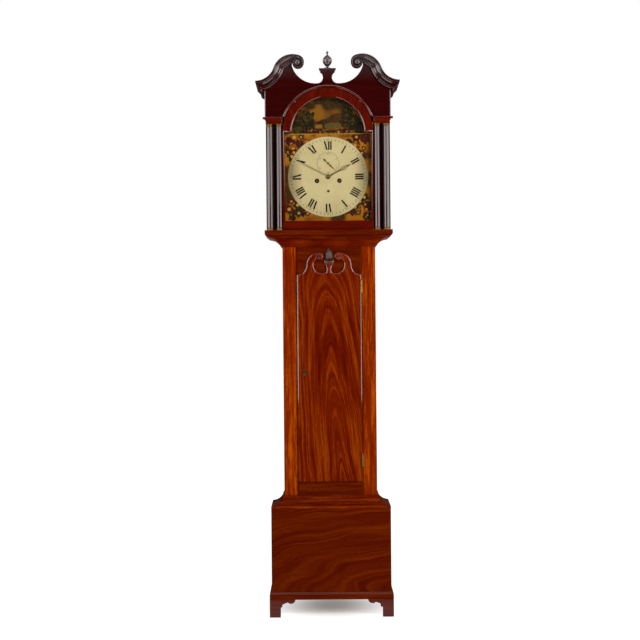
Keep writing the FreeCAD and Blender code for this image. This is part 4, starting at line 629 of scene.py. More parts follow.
def acorn(front, foot):
    """Half an acorn: a turned profile cut with a net of crossing ridges, its back pressed flat."""
    rim = [(0, 0), (17, 0), (19.2, 1), (19.4, 2.4), (17, 3.4), (14.6, 4)]
    nut = [(14, 4.6), (14.2, 12), (13.8, 20), (12.4, 28), (9.6, 35), (5.6, 40), (2, 42.5), (0, 43)]
    axis = np.array([0, front + 2 * MM])
    points, faces = turned(np.concatenate([rim, curved(nut, 7)]) * MM, (*axis, foot), 96)
    away = points[:, :2] - axis
    turn = np.arctan2(away[:, 1], away[:, 0])
    rise = (points[:, 2] - foot) / (4 * MM) * np.pi
    net = np.cos(12 * turn + rise) * np.cos(12 * turn - rise) * (points[:, 2] > foot + 4.2 * MM)
    points[:, :2] = away * (1 + 0.035 * net)[:, None] + axis
    points[:, 1] = np.minimum(points[:, 1], front + 8 * MM)
    return points, faces


# Pieces of the hood.


class CLOCK_OT_hood(bpy.types.Operator):
    """Hood: base, sides, blocks, fascia, cornice returns and glazed door"""

    bl_idname = "clock.hood"
    bl_label = "Hood"

    def execute(self, context):
        sizes = context.scene.clock_sizes
        edge, bead_edge = sizes.moulding_edge, 3.4 * MM
        base_top = high("hood_base_frame")[2] - NEAR
        block_front = low("column_blocks")[1] + NEAR
        bead_front = low("arch_bead")[1] + NEAR
        door_front = low("hood_door_frame")[1] + NEAR
        glass_side, glass_foot = high("hood_glass")[0], low("hood_glass")[2]

        def opening(x, y, z):
            foot = z < glass_foot + 20 * MM and abs(x) < glass_side - 20 * MM
            inside = abs(x) < glass_side + NEAR and z > glass_foot - NEAR and not foot
            arch = math.hypot(x, z - ARCH_CENTRE) < glass_side or z < ARCH_CENTRE + 5 * MM
            return y < door_front and inside and arch

        dress("hood_base_frame", "rail", edge, lambda x, y, z: z > base_top)
        dress("hood_sides", "hood")
        # The stiles behind the columns take the painted shade.
        dress("hood_stiles", "recess")
        dress("column_blocks", "moulding", edge, lambda x, y, z: y < block_front)
        dress("hood_fascia", "fascia", edge * 2.5, front_corners("hood_fascia"), "moulding")
        dress("arch_bead", "moulding", bead_edge, lambda x, y, z: y < bead_front)
        dress("cornice_returns", "hood")
        dress("hood_door_frame", "hood_frame", sizes.frame_edge, opening, "moulding")
        dress("hood_door_pivots", "brass")
        coat("hood_glass", "glass")
        coat("hood_roof", "pine")
        return {"FINISHED"}


class CLOCK_OT_swan_necks(bpy.types.Operator):
    """Two swan necks that roll into volutes, and the finial between them"""

    bl_idname = "clock.swan_necks"
    bl_label = "Swan necks and finial"

    def execute(self, context):
        points, faces = swan_neck()
        for node, side in (("swan_neck_right", 1), ("swan_neck_left", -1)):
            carve(f"{node}_carved", (points * (side, 1, 1), faces), "crest", sharp=40, node=node)
        carve("finial_turned", finial(), "crest", sharp=40, node="finial")
        return {"FINISHED"}


def swan_neck():
    """Cornice profile carried up a hollow arc, over a round arc and round a shrinking spiral.

    A point of the path has a normal that points into the moulding; the profile's drop runs along the normal
    and its reach runs forwards. Along the spiral the profile shrinks with the radius.
    """
    horn = high("swan_neck_right")[0]
    hollow, crown_radius, centre_rise = 72 * MM, 75 * MM, 22.7 * MM
    narrowing, backless, curl, rolled = 62, 96, 111.6, 480  # Degrees round the crown, and of the spiral.
    run = math.sqrt((hollow + crown_radius) ** 2 - (hollow - centre_rise) ** 2)
    crown = np.array([horn - run, CORNICE_TOP + centre_rise])
    bowl = np.array([horn, CORNICE_TOP + hollow])
    meet = math.atan2(*(bowl - crown)[::-1])
    first = np.linspace(1.5 * math.pi, math.pi + meet, 26)[:-1, None]
    second = np.linspace(meet, math.radians(curl), 40)[:-1, None]
    turn = np.linspace(math.radians(curl), math.radians(curl + rolled), 90)[:, None]
    wound = (turn - turn[0]) / (turn[-1] - turn[0])

    def way(angle):
        """Unit steps at a column of angles."""
        return np.concatenate([np.cos(angle), np.sin(angle)], axis=1)

    eye = crown + (crown_radius - VOLUTE) * way(turn[:1])[0]
    spiral = VOLUTE * (1 - 0.62 * wound)
    arcs = [bowl + hollow * way(first), crown + crown_radius * way(second), eye + spiral * way(turn)]
    path = np.concatenate(arcs)
    inward = np.concatenate([way(first), -way(second), -way(turn)])
    ease = np.clip((np.degrees(second) - narrowing) / (curl - narrowing), 0, 1)
    narrow = 1 - 0.4 * ease**2 * (3 - 2 * ease)
    whole = np.ones_like(first)
    shrink = np.concatenate([whole, narrow, 0.6 * (1 - 0.55 * wound)])
    behind = np.concatenate([whole, (np.degrees(second) < backless) * 1.0, 0 * wound])
    front_cut = np.concatenate([whole, np.ones_like(second), 1 - 0.1 * wound])
    crest = [(0, 0), (0, 31.5), (1.5, 33), (4.5, 33), (5.5, 32), (5.5, 29)]
    rib = way(np.linspace(0, np.pi, 9)[:, None]) * (-1, 1)
    wave = curved([(12, 27.5), (14.5, 26.6), (18, 24), (21.5, 19.5), (25, 15.5), (27.2, 13.5)], 3)
    steps = [crest, (8.7, 28) + 2.9 * rib, wave, (32, 9) + 4.6 * rib, [(37, 6), (37, 0)]]
    profile = np.concatenate(steps) * MM
    back = np.array([(15, 0), (15, -20), (0, -20)]) * MM
    drop = np.concatenate([profile[:, 0], back[:, 0]]) * shrink
    forward = np.concatenate([profile[:, 1] * front_cut, back[:, 1] * behind], axis=1)
    x = path[:, :1] + inward[:, :1] * drop
    z = path[:, 1:] + inward[:, 1:] * drop
    fold = np.clip(x - (high("hood_fascia")[0] + np.clip(forward, 0, None)), 0, None)
    sweep = np.stack([x - fold, FASCIA_FRONT - forward, z], axis=-1).reshape(-1, 3)
    dome = curved([(0, 31.5), (4, 31.2), (8, 29.5), (10.2, 26), (10.6, 20), (10.6, 0)], 6) * MM
    boss = turned(dome, (eye[0], FASCIA_FRONT, eye[1]), 40, "Y")
    return joined([(sweep, grid_faces(*x.shape, closed=True)), boss])


def finial():
    """Turned urn on a moulded square cap: a profile about an upright axis, and one about a square."""
    box_low, box_high = low("finial"), high("finial")
    middle = (box_low[1] + box_high[1]) / 2
    foot = [(0, 0), (11.5, 0), (12, 0.8), (12, 2.4), (11.2, 3.2), (7, 4), (5.2, 5.5), (4.6, 7)]
    belly = [(4.8, 8), (8.5, 11), (13.2, 16.5), (16.6, 23), (17.5, 29.5)]
    belly += [(16.4, 36), (13, 42), (8.6, 46.5), (5, 49.2)]
    flame = [(3.4, 50.6), (2.6, 53), (2.9, 55), (4.4, 57.2), (4.9, 59.2)]
    flame += [(4, 61.4), (2.4, 63.4), (1.3, 65.6), (0, 67.6)]
    urn = np.concatenate([foot, curved(belly, 6), curved(flame, 5)]) * MM
    cap_top = box_high[2] - urn[-1, 1]
    body = turned(urn, (0, middle, cap_top), 64)
    half = np.array([box_high[0], (box_high[1] - box_low[1]) / 2])
    inset = np.array([30, 5, 4.8, 4.2, 3, 1.6, 1.2, 0, 0, 0.7, 30]) * MM
    rise = np.array([0, 0, 1.4, 3, 4.6, 5.6, 7.4, 8.2, 11.8, 13, 13]) / 13 * (cap_top - box_low[2])
    corner = np.array([(1, 1), (-1, 1), (-1, -1), (1, -1)])
    square = np.maximum(half - inset[:, None], 0)[:, None, :] * corner + (0, middle)
    level = np.broadcast_to((box_low[2] + rise)[:, None, None], (len(inset), 4, 1))
    cap = np.concatenate([square, level], axis=-1).reshape(-1, 3)
    return joined([body, (cap, grid_faces(len(inset), 4, closed=True))])


class CLOCK_OT_columns(bpy.types.Operator):
    """Four hood columns with turned brass caps and bases"""

    bl_idname = "clock.columns"
    bl_label = "Columns"

    def execute(self, context):
        box_low, box_high = low("hood_columns"), high("hood_columns")
        pitch = 33.5 * MM
        radius = (box_high[1] - box_low[1]) / 2
        middle = (box_low[1] + box_high[1]) / 2
        outer = box_high[0] - radius
        inner = outer - pitch
        rise = np.linspace(0, 1, 24)
        belly = radius * (1 - 0.06 * np.clip((rise - 0.33) / 0.67, 0, 1) ** 1.6)
        shaft = np.stack([belly, rise * (box_high[2] - box_low[2])], axis=-1)
        waist = [(12.2, 3), (11.5, 3.6), (11.3, 4.6), (11.9, 5.4)]
        waist += [(12.1, 6.4), (11.7, 7.4), (11.2, 8), (11.3, 9)]
        foot = [(0, 0), (12.4, 0), (12.4, 2.6)]
        lip = [(11.6, 9.6), (11.6, 10.6), (11.2, 11), (10, 11), (0, 11)]
        ring = np.concatenate([foot, curved(waist, 4), lip]) * MM
        places = (-outer, -inner, inner, outer)
        shafts = [turned(shaft, (x, middle, box_low[2]), 56) for x in places]
        rings = [turned(ring, (x, middle, low("column_brasses")[2]), 48) for x in places]
        rings += [turned(ring * (1, -1), (x, middle, high("column_brasses")[2]), 48) for x in places]
        carve("hood_columns_turned", joined(shafts), "hood_upright", node="hood_columns")
        carve("column_brasses_turned", joined(rings), "mount", node="column_brasses")
        return {"FINISHED"}


# Dial and hands.


def cloud(x, z, size, seed):
    """Soft noise: random heights on a square lattice, blended by a smooth step between its points."""
    table = np.random.default_rng(seed).random((128, 128))
    u, w = x / size + 40, z / size + 40
    i, j = np.floor(u).astype(int), np.floor(w).astype(int)
    s, t = u - i, w - j
    s, t = s * s * (3 - 2 * s), t * t * (3 - 2 * t)
    i, j = i % 127, j % 127
    near = table[i, j] * (1 - s) + table[i + 1, j] * s
    far = table[i, j + 1] * (1 - s) + table[i + 1, j + 1] * s
    return near * (1 - t) + far * t


def lay(paint, share, code):
    """Lay one colour over a painting by a share at each point."""
    paint += (np.array(linear(code)[:3]) - paint) * np.clip(share, 0, 1)[:, None]


def soft(distance, edge):
    """Share that falls from one to nothing over an edge."""
    return np.clip(0.5 - distance / edge, 0, 1)


def landscape(x, h):
    """Lake among hills and trees, in millimetres from the arch's middle: bands of height and round crowns."""
    varnish = (0.84, 0.68, 0.52)
    paint = np.tile(linear("#5e400c")[:3], (len(x), 1))
    rough = cloud(x, h, 9, 3) - 0.5
    broad = cloud(x, h * 1.6, 34, 4) - 0.5

    def bank(top, swing, run, start, jag, code):
        """Ground up to a wavy and ragged top."""
        lay(paint, soft(h - top - swing * np.sin(x / run + start) - jag * rough, 3), code)

    lay(paint, soft(70 - h, 60), "#33270b")
    lay(paint, soft(0.05 - broad, 0.3), "#946715")
    bank(58, 13, 30, 0.6, 7, "#402b0b")
    bank(44, 9, 21, 2.4, 8, "#2c240a")
    lay(paint, soft(np.hypot((x - 26) / 2.6, h - 30) - 15 - 3 * rough, 2), "#5f5426")
    bank(22, 5, 33, 0, 5, "#7a5306")
    bank(9, 3, 19, 1, 6, "#5a3a06")
    house = np.maximum(np.abs(x + 34) - 13, np.abs(h - 31) - 8)
    lay(paint, soft(house, 1.5), "#8f6a28")
    roof = np.maximum(np.abs(x + 34) * 0.55 + h - 48, 38 - h)
    lay(paint, soft(roof, 1.5), "#4a0f08")
    trees = [(-98, 40, 30), (-74, 66, 24), (-112, 18, 20), (96, 44, 31)]
    trees += [(72, 78, 22), (114, 22, 19), (60, 40, 12), (-62, 34, 12)]
    for cx, ch, size in trees:
        edge = np.hypot(x - cx, (h - ch) * 0.9) - size - 16 * rough
        lay(paint, soft(edge, 4), "#120f05")
        lay(paint, soft(edge + 9, 9) * (rough > 0.12), "#3c3a0e")
    for cx, ch, size in ((-58, 9, 17), (-30, 5, 14), (34, 6, 16), (66, 9, 15), (2, 3, 12)):
        edge = np.hypot((x - cx) / 1.4, h - ch) - size - 12 * rough
        lay(paint, soft(edge, 3), "#330707" if cx % 4 else "#151807")
        blossom = cloud(x, h, 4.2, 11 + size) - 0.78
        lay(paint, soft(edge + 3, 3) * (blossom > 0), "#b5934a")
    return paint * varnish


def spandrel(x, z, seed):
    """Posy in a corner, in millimetres from the dial's centre: round, wavy-rimmed flowers and dark leaves."""
    varnish = (1.2, 1.0, 0.6)
    petals = ("#100f06", "#3a070b", "#14180a", "#8a5208", "#4a0c0e", "#14180a")
    paint = np.tile(linear("#7f4f09")[:3], (len(x), 1))
    rough = cloud(x, z, 8, seed) - 0.5
    broad = cloud(x, z, 26, seed + 1) - 0.5
    lay(paint, soft(0.02 - broad, 0.25), "#a56c0a")
    lay(paint, soft(broad + 0.16, 0.2), "#3a2506")
    side_x, side_z = np.sign(x.mean()), np.sign(z.mean())
    for along, off, size, kind in np.random.default_rng(seed).uniform(0, 1, (26, 4)):
        spread = (along - 0.5) * 130
        cx = side_x * (128 + (off - 0.5) * 52 - max(spread, 0))
        cz = side_z * (128 + (off - 0.5) * 52 - max(-spread, 0))
        radius = 8 + 10 * size
        away = np.hypot(x - cx, z - cz)
        turn = np.arctan2(z - cz, x - cx)
        rim = away - radius * (1 + 0.16 * np.cos(5 * turn + 9 * kind)) - 5 * rough
        lay(paint, soft(rim, 3), petals[int(kind * len(petals))])
        lay(paint, soft(away - radius * 0.35, 3) * (kind > 0.3), "#b8964c")
        lay(paint, soft(np.abs(away - radius * 0.7) - 0.8, 1.5) * (rough > 0), "#1c1005")
    return paint * varnish


class CLOCK_OT_dial(bpy.types.Operator):
    """Painted dial: cream plate, pictures in the arch and corners, numerals, minute marks and rings"""

    bl_idname = "clock.dial"
    bl_label = "Dial"

    def execute(self, context):
        sizes = context.scene.clock_sizes
        coat("dial_plate", "cream")
        self.paint_pictures(sizes)
        self.paint_marks(sizes)
        return {"FINISHED"}

    def paint_pictures(self, sizes):
        """A flat grid over the plate outside the disc, its colours worked out from each point's place."""
        step, margin, lift = 1.1, 0.6, 0.12 * MM
        half = DIAL_HALF / MM - margin
        top = (high("dial_plate")[2] - DIAL_CENTRE) / MM - margin
        arch = (ARCH_CENTRE - DIAL_CENTRE) / MM
        across = np.arange(-half, half + step, step)
        up = np.arange(-half, top + step, step)
        x, z = (axis.ravel() for axis in np.meshgrid(across, up))
        faces = grid_faces(len(up), len(across))
        centre_x, centre_z = x[faces].mean(axis=1), z[faces].mean(axis=1)
        square = (np.abs(centre_x) < half) & (centre_z < half)
        round_top = np.hypot(centre_x, centre_z - arch) < top - arch
        outside = np.hypot(centre_x, centre_z) > sizes.disc / MM
        used, faces = np.unique(faces[(square | round_top) & outside], return_inverse=True)
        x, z = x[used], z[used]
        paint = np.empty((len(x), 3))
        in_arch = z > half - 6
        paint[in_arch] = landscape(x[in_arch], z[in_arch] - arch)
        for number, (side_x, side_z) in enumerate(((-1, -1), (1, -1), (-1, 1), (1, 1))):
            inside = ~in_arch & (x * side_x >= 0) & (z * side_z > 0)
            paint[inside] = spandrel(x[inside], z[inside], 21 + 5 * number)
        lay(paint, soft(np.abs(z - half + 4) - 1.4, 1.0), "#b08a2a")
        points = np.stack([x * MM, np.full(len(x), DIAL_FACE - lift), z * MM + DIAL_CENTRE], axis=-1)
        mesh = new_mesh("dial_pictures_form", points, faces.reshape(-1, 4))
        layer = mesh.color_attributes.new("paint", "FLOAT_COLOR", "POINT")
        opaque = np.column_stack([paint, np.ones(len(paint))]).astype(np.float32)
        layer.data.foreach_set("color", opaque.ravel())
        set_piece("dial_pictures", mesh, "picture", body="case", slot="painted_dial")

    def paint_marks(self, sizes):
        """All strokes and rings of the dial as flat strips just above the paint."""
        lift = 0.22 * MM
        tick = np.array([(0, 0, 0, 1, 0.095)])
        minutes, ring, rise = sizes.minute_ring, sizes.seconds_ring, SECONDS_RISE
        strokes = []
        for hour in range(1, 13):
            strokes.append(placed(numeral(hour), sizes.numeral_foot, sizes.numeral_height, hour * 30))
        for five in range(5, 65, 5):
            strokes.append(placed(figures(str(five)), minutes - 3.2 * MM, 6.4 * MM, five * 6))
        for ten in range(10, 70, 10):
            strokes.append(placed(figures(str(ten)), ring - 9 * MM, 5 * MM, ten * 6, rise))
        for second in range(60):
            strokes.append(placed(tick, ring - 3 * MM, 3 * MM, second * 6, rise))
        for minute in range(60):
            if minute % 5:
                strokes.append(placed(tick, minutes - 4 * MM, 8 * MM, minute * 6))
        rings = [(sizes.disc - 0.2 * MM, 1, 0, 0), (ring, 0.45, 0, rise), (5.2 * MM, 0.7, 0, -54 * MM)]
        rings += [(8.1 * MM, 1.2, side * 42 * MM, -15 * MM) for side in (-1, 1)]
        shapes = [hoop(radius, width * MM, (x, z)) for radius, width, x, z in rings]
        points, faces = joined([strip(np.concatenate(strokes))] + shapes)
        front = np.full(len(points), DIAL_FACE - lift)
        points = np.stack([points[:, 0], front, points[:, 1] + DIAL_CENTRE], axis=-1)
        mesh = new_mesh("dial_marks_form", points, faces)
        set_piece("dial_marks", mesh, "black", body="case", slot="painted_dial")


ROMAN = ("I", "II", "III", "IIII", "V", "VI", "VII", "VIII", "IX", "X", "XI", "XII")
STEM, HAIR, FIGURE_LINE = 0.09, 0.009, 0.055  # Half widths, to a height of one.
# Strokes of a unit-high letter: start, end and half width.
LETTERS = {
    "I": [(0, 0, 0, 1, STEM), (-0.11, 0.012, 0.11, 0.012, HAIR), (-0.11, 0.988, 0.11, 0.988, HAIR)],
    "V": [
        (-0.15, 1, 0.02, 0, STEM), (0.16, 1, 0.03, 0, HAIR),
        (-0.25, 0.988, -0.05, 0.988, HAIR), (0.08, 0.988, 0.24, 0.988, HAIR),
    ],
    "X": [
        (-0.15, 1, 0.13, 0, STEM), (0.15, 1, -0.15, 0, HAIR),
        (-0.25, 0.988, -0.05, 0.988, HAIR), (0.07, 0.988, 0.23, 0.988, HAIR),
        (-0.23, 0.012, -0.07, 0.012, HAIR), (0.04, 0.012, 0.23, 0.012, HAIR),
    ],
}
ADVANCE = {"I": 0.25, "V": 0.44, "X": 0.44}
# Lines of the figures in a box one high and nine tenths wide.
FIGURES = {
    "0": [(0.5, 1), (0.9, 0.75), (0.9, 0.25), (0.5, 0), (0.1, 0.25), (0.1, 0.75), (0.5, 1)],
    "1": [(0.3, 0.8), (0.5, 1), (0.5, 0)],
    "2": [(0.1, 0.8), (0.5, 1), (0.9, 0.75), (0.1, 0), (0.9, 0)],
    "3": [(0.1, 0.9), (0.5, 1), (0.85, 0.75), (0.45, 0.52), (0.9, 0.25), (0.5, 0), (0.1, 0.12)],
    "4": [(0.7, 0), (0.7, 1), (0.1, 0.3), (0.95, 0.3)],
    "5": [(0.85, 1), (0.25, 1), (0.2, 0.55), (0.6, 0.6), (0.9, 0.3), (0.5, 0), (0.1, 0.1)],
    "6": [(0.8, 0.95), (0.4, 0.8), (0.1, 0.3), (0.5, 0), (0.9, 0.3), (0.5, 0.55), (0.15, 0.35)],
}


def numeral(hour):
    """Strokes of an hour numeral, centred and one high."""
    letters = ROMAN[hour - 1]
    widths = np.array([ADVANCE[letter] for letter in letters])
    middles = np.cumsum(widths) - widths / 2 - widths.sum() / 2
    placed_letters = [np.array(LETTERS[letter]) + (m, 0, m, 0, 0) for letter, m in zip(letters, middles)]
    return np.concatenate(placed_letters)


def figures(text):
    """Strokes of a number in plain figures, centred and one high."""
    strokes = []
    for index, digit in enumerate(text):
        line = np.array(FIGURES[digit]) + (index - len(text) / 2, 0)
        strokes.append(np.column_stack([line[:-1], line[1:], np.full(len(line) - 1, FIGURE_LINE)]))
    return np.concatenate(strokes)


def placed(strokes, foot, height, bearing, rise=0.0):
    """Strokes set round a circle with their feet to its centre: start, end and half width in metres."""
    angle = math.radians(bearing)
    out = []
    for side, up in ((0, 1), (2, 3)):
        a = strokes[:, side] * height
        r = foot + strokes[:, up] * height
        out += [r * math.sin(angle) + a * math.cos(angle), r * math.cos(angle) - a * math.sin(angle) + rise]
    return np.column_stack(out + [strokes[:, 4] * height])


def unit(steps):
    """Steps along a line made one long."""
    return steps / np.linalg.norm(steps, axis=1, keepdims=True)


def sideways(way):
    """Flat steps turned by a quarter."""
    return np.stack([-way[:, 1], way[:, 0]], axis=-1)


def strip(strokes):
    """Each stroke as a quad: its two ends moved sideways by its half width."""
    start, end = strokes[:, 0:2], strokes[:, 2:4]
    side = sideways(unit(end - start)) * strokes[:, 4:]
    points = np.stack([start + side, start - side, end - side, end + side], axis=1).reshape(-1, 2)
    return points, np.arange(len(points)).reshape(-1, 4)


def hoop(radius, width, centre):
    """Flat ring of a middle radius and a width."""
    sides = 120
    turn = np.linspace(0, 2 * np.pi, sides, endpoint=False)
    rims = np.array([radius - width / 2, radius + width / 2])[:, None, None]
    points = rims * np.stack([np.cos(turn), np.sin(turn)], axis=-1)
    return points.reshape(-1, 2) + centre, grid_faces(2, sides, closed=True)


class CLOCK_OT_hands(bpy.types.Operator):
    """Pierced hour hand, serpentine minute hand and seconds hand"""

    bl_idname = "clock.hands"
    bl_label = "Hands"

    def execute(self, context):
        sizes = context.scene.clock_sizes
        self.hour_hand(sizes.hour_hand)
        self.minute_hand(sizes.minute_hand)
        self.seconds_hand(sizes.seconds_hand)
        return {"FINISHED"}

    def set_hand(self, node, bars, boss, bearing, rise):
        """Flat bars turned to a bearing, with a domed boss."""
        front, back = low(node)[1], high(node)[1]
        angle = math.radians(bearing)
        turn = np.array([(math.cos(angle), -math.sin(angle)), (math.sin(angle), math.cos(angle))])
        shapes = [flat_bar(line @ turn, width, front, back, rise) for line, width in bars]
        dome = np.array([(0, 0.6), (0.5, 0.55), (0.8, 0.35), (1, 0), (1, -0.8)]) * (boss, 0.8 * MM)
        shapes.append(turned(dome, (0, front, rise), 40, "Y"))
        carve(f"{node}_cut", joined(shapes), "hand", node=node)

    def hour_hand(self, tall):
        """Two strands that cross in loops which swell near the tip, then a leaf."""
        b = np.linspace(0.04, 0.86, 150)
        swell = 2.2 + 6.6 * np.exp(-(((b - 0.7) / 0.13) ** 2))
        sway = swell * np.sin(np.pi * b / 0.107) * MM
        bars = [(np.stack([side * sway, b * tall], axis=-1), np.full(len(b), 0.6 * MM)) for side in (-1, 1)]
        b = np.linspace(0.82, 1, 14)
        width = 2.4 * MM * np.sqrt(np.clip(1 - ((b - 0.89) / 0.115) ** 2, 0.002, 1))
        bars.append((np.stack([0 * b, b * tall], axis=-1), width))
        b = np.linspace(0, 0.6, 40)
        stem = np.stack([1.6 * np.sin(b * 21) * MM, b * tall], axis=-1)
        bars.append((stem, np.linspace(1.9, 0.7, len(b)) * MM))
        self.set_hand("hour_hand", bars, 9 * MM, 61.4, DIAL_CENTRE)

    def minute_hand(self, tall):
        """Two thin strands that wave across each other and end in a spear."""
        b = np.linspace(0.03, 0.9, 160)
        sway = (3.1 - 2.0 * b) * np.sin(np.pi * b / 0.15) * MM
        bars = [(np.stack([side * sway, b * tall], axis=-1), np.full(len(b), 0.5 * MM)) for side in (-1, 1)]
        b = np.linspace(0.86, 1, 10)
        bars.append((np.stack([0 * b, b * tall], axis=-1), np.linspace(1.5, 0.25, len(b)) * MM))
        self.set_hand("minute_hand", bars, 6 * MM, 298.4, DIAL_CENTRE)

    def seconds_hand(self, tall):
        """A needle that swells twice ahead of its boss, with a leaf for a tail."""
        b = np.linspace(-0.62, 1, 90)
        bulges = ((-0.44, 3.2), (0.3, 2.5), (0.58, 1.6))
        swell = sum(wide * np.exp(-(((b - at) / 0.09) ** 2)) for at, wide in bulges)
        width = (1.3 + swell - 0.6 * np.clip(b, 0, 1)) * MM
        needle = np.stack([0 * b, b * tall], axis=-1)
        self.set_hand("seconds_hand", [(needle, width)], 4.4 * MM, 135, DIAL_CENTRE + SECONDS_RISE)


def flat_bar(line, width, front, back, rise):
    """Rectangular section carried along a line in the dial's plane, with closed ends."""
    side = sideways(unit(np.gradient(line, axis=0))) * width[:, None]
    left, right = line + side, line - side
    rows = len(line)
    ring = np.stack([left, right, right, left], axis=1)
    deep = np.broadcast_to([front, front, back, back], (rows, 4))
    points = np.stack([ring[..., 0], deep, ring[..., 1] + rise], axis=-1)
    first = np.arange(4)
    ends = np.array([first, 4 * rows - 1 - first])
    return points.reshape(-1, 3), np.concatenate([grid_faces(rows, 4, closed=True), ends])


# Movement.


class CLOCK_OT_movement(bpy.types.Operator):
    """Plates, wheels, bell, pendulum and weights"""

    bl_idname = "clock.movement"
    bl_label = "Movement"

    def execute(self, context):
        brass = ("movement_frame", "back_cock", "great_wheel", "going_barrel", "strike_barrel")
        brass += ("center_wheel", "third_wheel", "escape_wheel", "minute_wheel", "hour_wheel")
        brass += ("going_pulley", "strike_pulley", "pendulum_bob", "bell")
        for node in brass:
            dress(node, "brass")
        for node in ("pallets", "hammer", "pendulum_rod", "bell_stand"):
            dress(node, "steel")
        for node in ("going_weight", "strike_weight"):
            dress(node, "iron")
        end = np.array([(0, 5.4), (2.6, 5.4), (3.2, 4.8), (3.2, 0), (0, 0)]) * MM
        for label in ("going", "strike"):
            front, back = low(f"{label}_barrel"), high(f"{label}_barrel")
            x, _, z = (front + back) / 2
            square = turned(end, (x, front[1], z), 4, "Y")
            carve(f"{label}_winding_square", square, "steel", body=f"{label}_drum", slot="steel")
        return {"FINISHED"}


class CLOCK_OT_lines(bpy.types.Operator):
    """Gut lines from the barrels down to the pulleys and up to the seat board"""

    bl_idname = "clock.lines"
    bl_label = "Gut lines"

    def execute(self, context):
        for label in ("going", "strike"):
            self.hang(label, context.scene.clock_sizes.gut)
        return {"FINISHED"}

    def hang(self, label, radius):
        """Two falls, and the half loop under the pulley."""
        reach = 18 * MM
        node, joint = f"{label}_line", f"{label}_weight_rise"
        axle = low(node)[2]
        middle, depth, _ = (low(f"{label}_pulley") + high(f"{label}_pulley")) / 2
        fall = ("fall", middle - reach, high(node)[2], node)
        tail = ("tail", middle + reach, high("seat_board")[2], None)
        for part, x, top, stands_for in (fall, tail):
            path = np.linspace((x, depth, axle), (x, depth, top), 300)
            place = {"node": stands_for, "body": "case", "slot": "gut"}
            piece = carve(f"{label}_line_{part}", twisted(path, radius), "gut", sharp=80, **place)
            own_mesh(piece)
        turn = np.linspace(np.pi, 2 * np.pi, 60)
        x, z = middle + reach * np.cos(turn), axle + reach * np.sin(turn)
        loop = twisted(np.stack([x, np.full(len(turn), depth), z], axis=-1), radius)
        carve(f"{label}_line_loop", loop, "gut", sharp=80, body=f"{label}_load", slot="gut")


def twisted(path, radius):
    """Three-stranded section carried along a path in an upright plane, turning once in 9 mm."""
    sides, lay_length = 12, 9 * MM
    angle = np.linspace(0, 2 * np.pi, sides, endpoint=False)[None, :]
    step = np.linalg.norm(np.diff(path, axis=0), axis=1)
    run = np.concatenate([[0], np.cumsum(step)])[:, None]
    swell = radius * (0.88 + 0.12 * np.cos(3 * (angle - 2 * np.pi * run / lay_length)))
    side = np.array([0.0, 1.0, 0.0])
    other = np.cross(unit(np.gradient(path, axis=0)), side)
    ring = side * (swell * np.cos(angle))[..., None] + other[:, None, :] * (swell * np.sin(angle))[..., None]
    return (path[:, None, :] + ring).reshape(-1, 3), grid_faces(len(path), sides, closed=True)


# Stage.


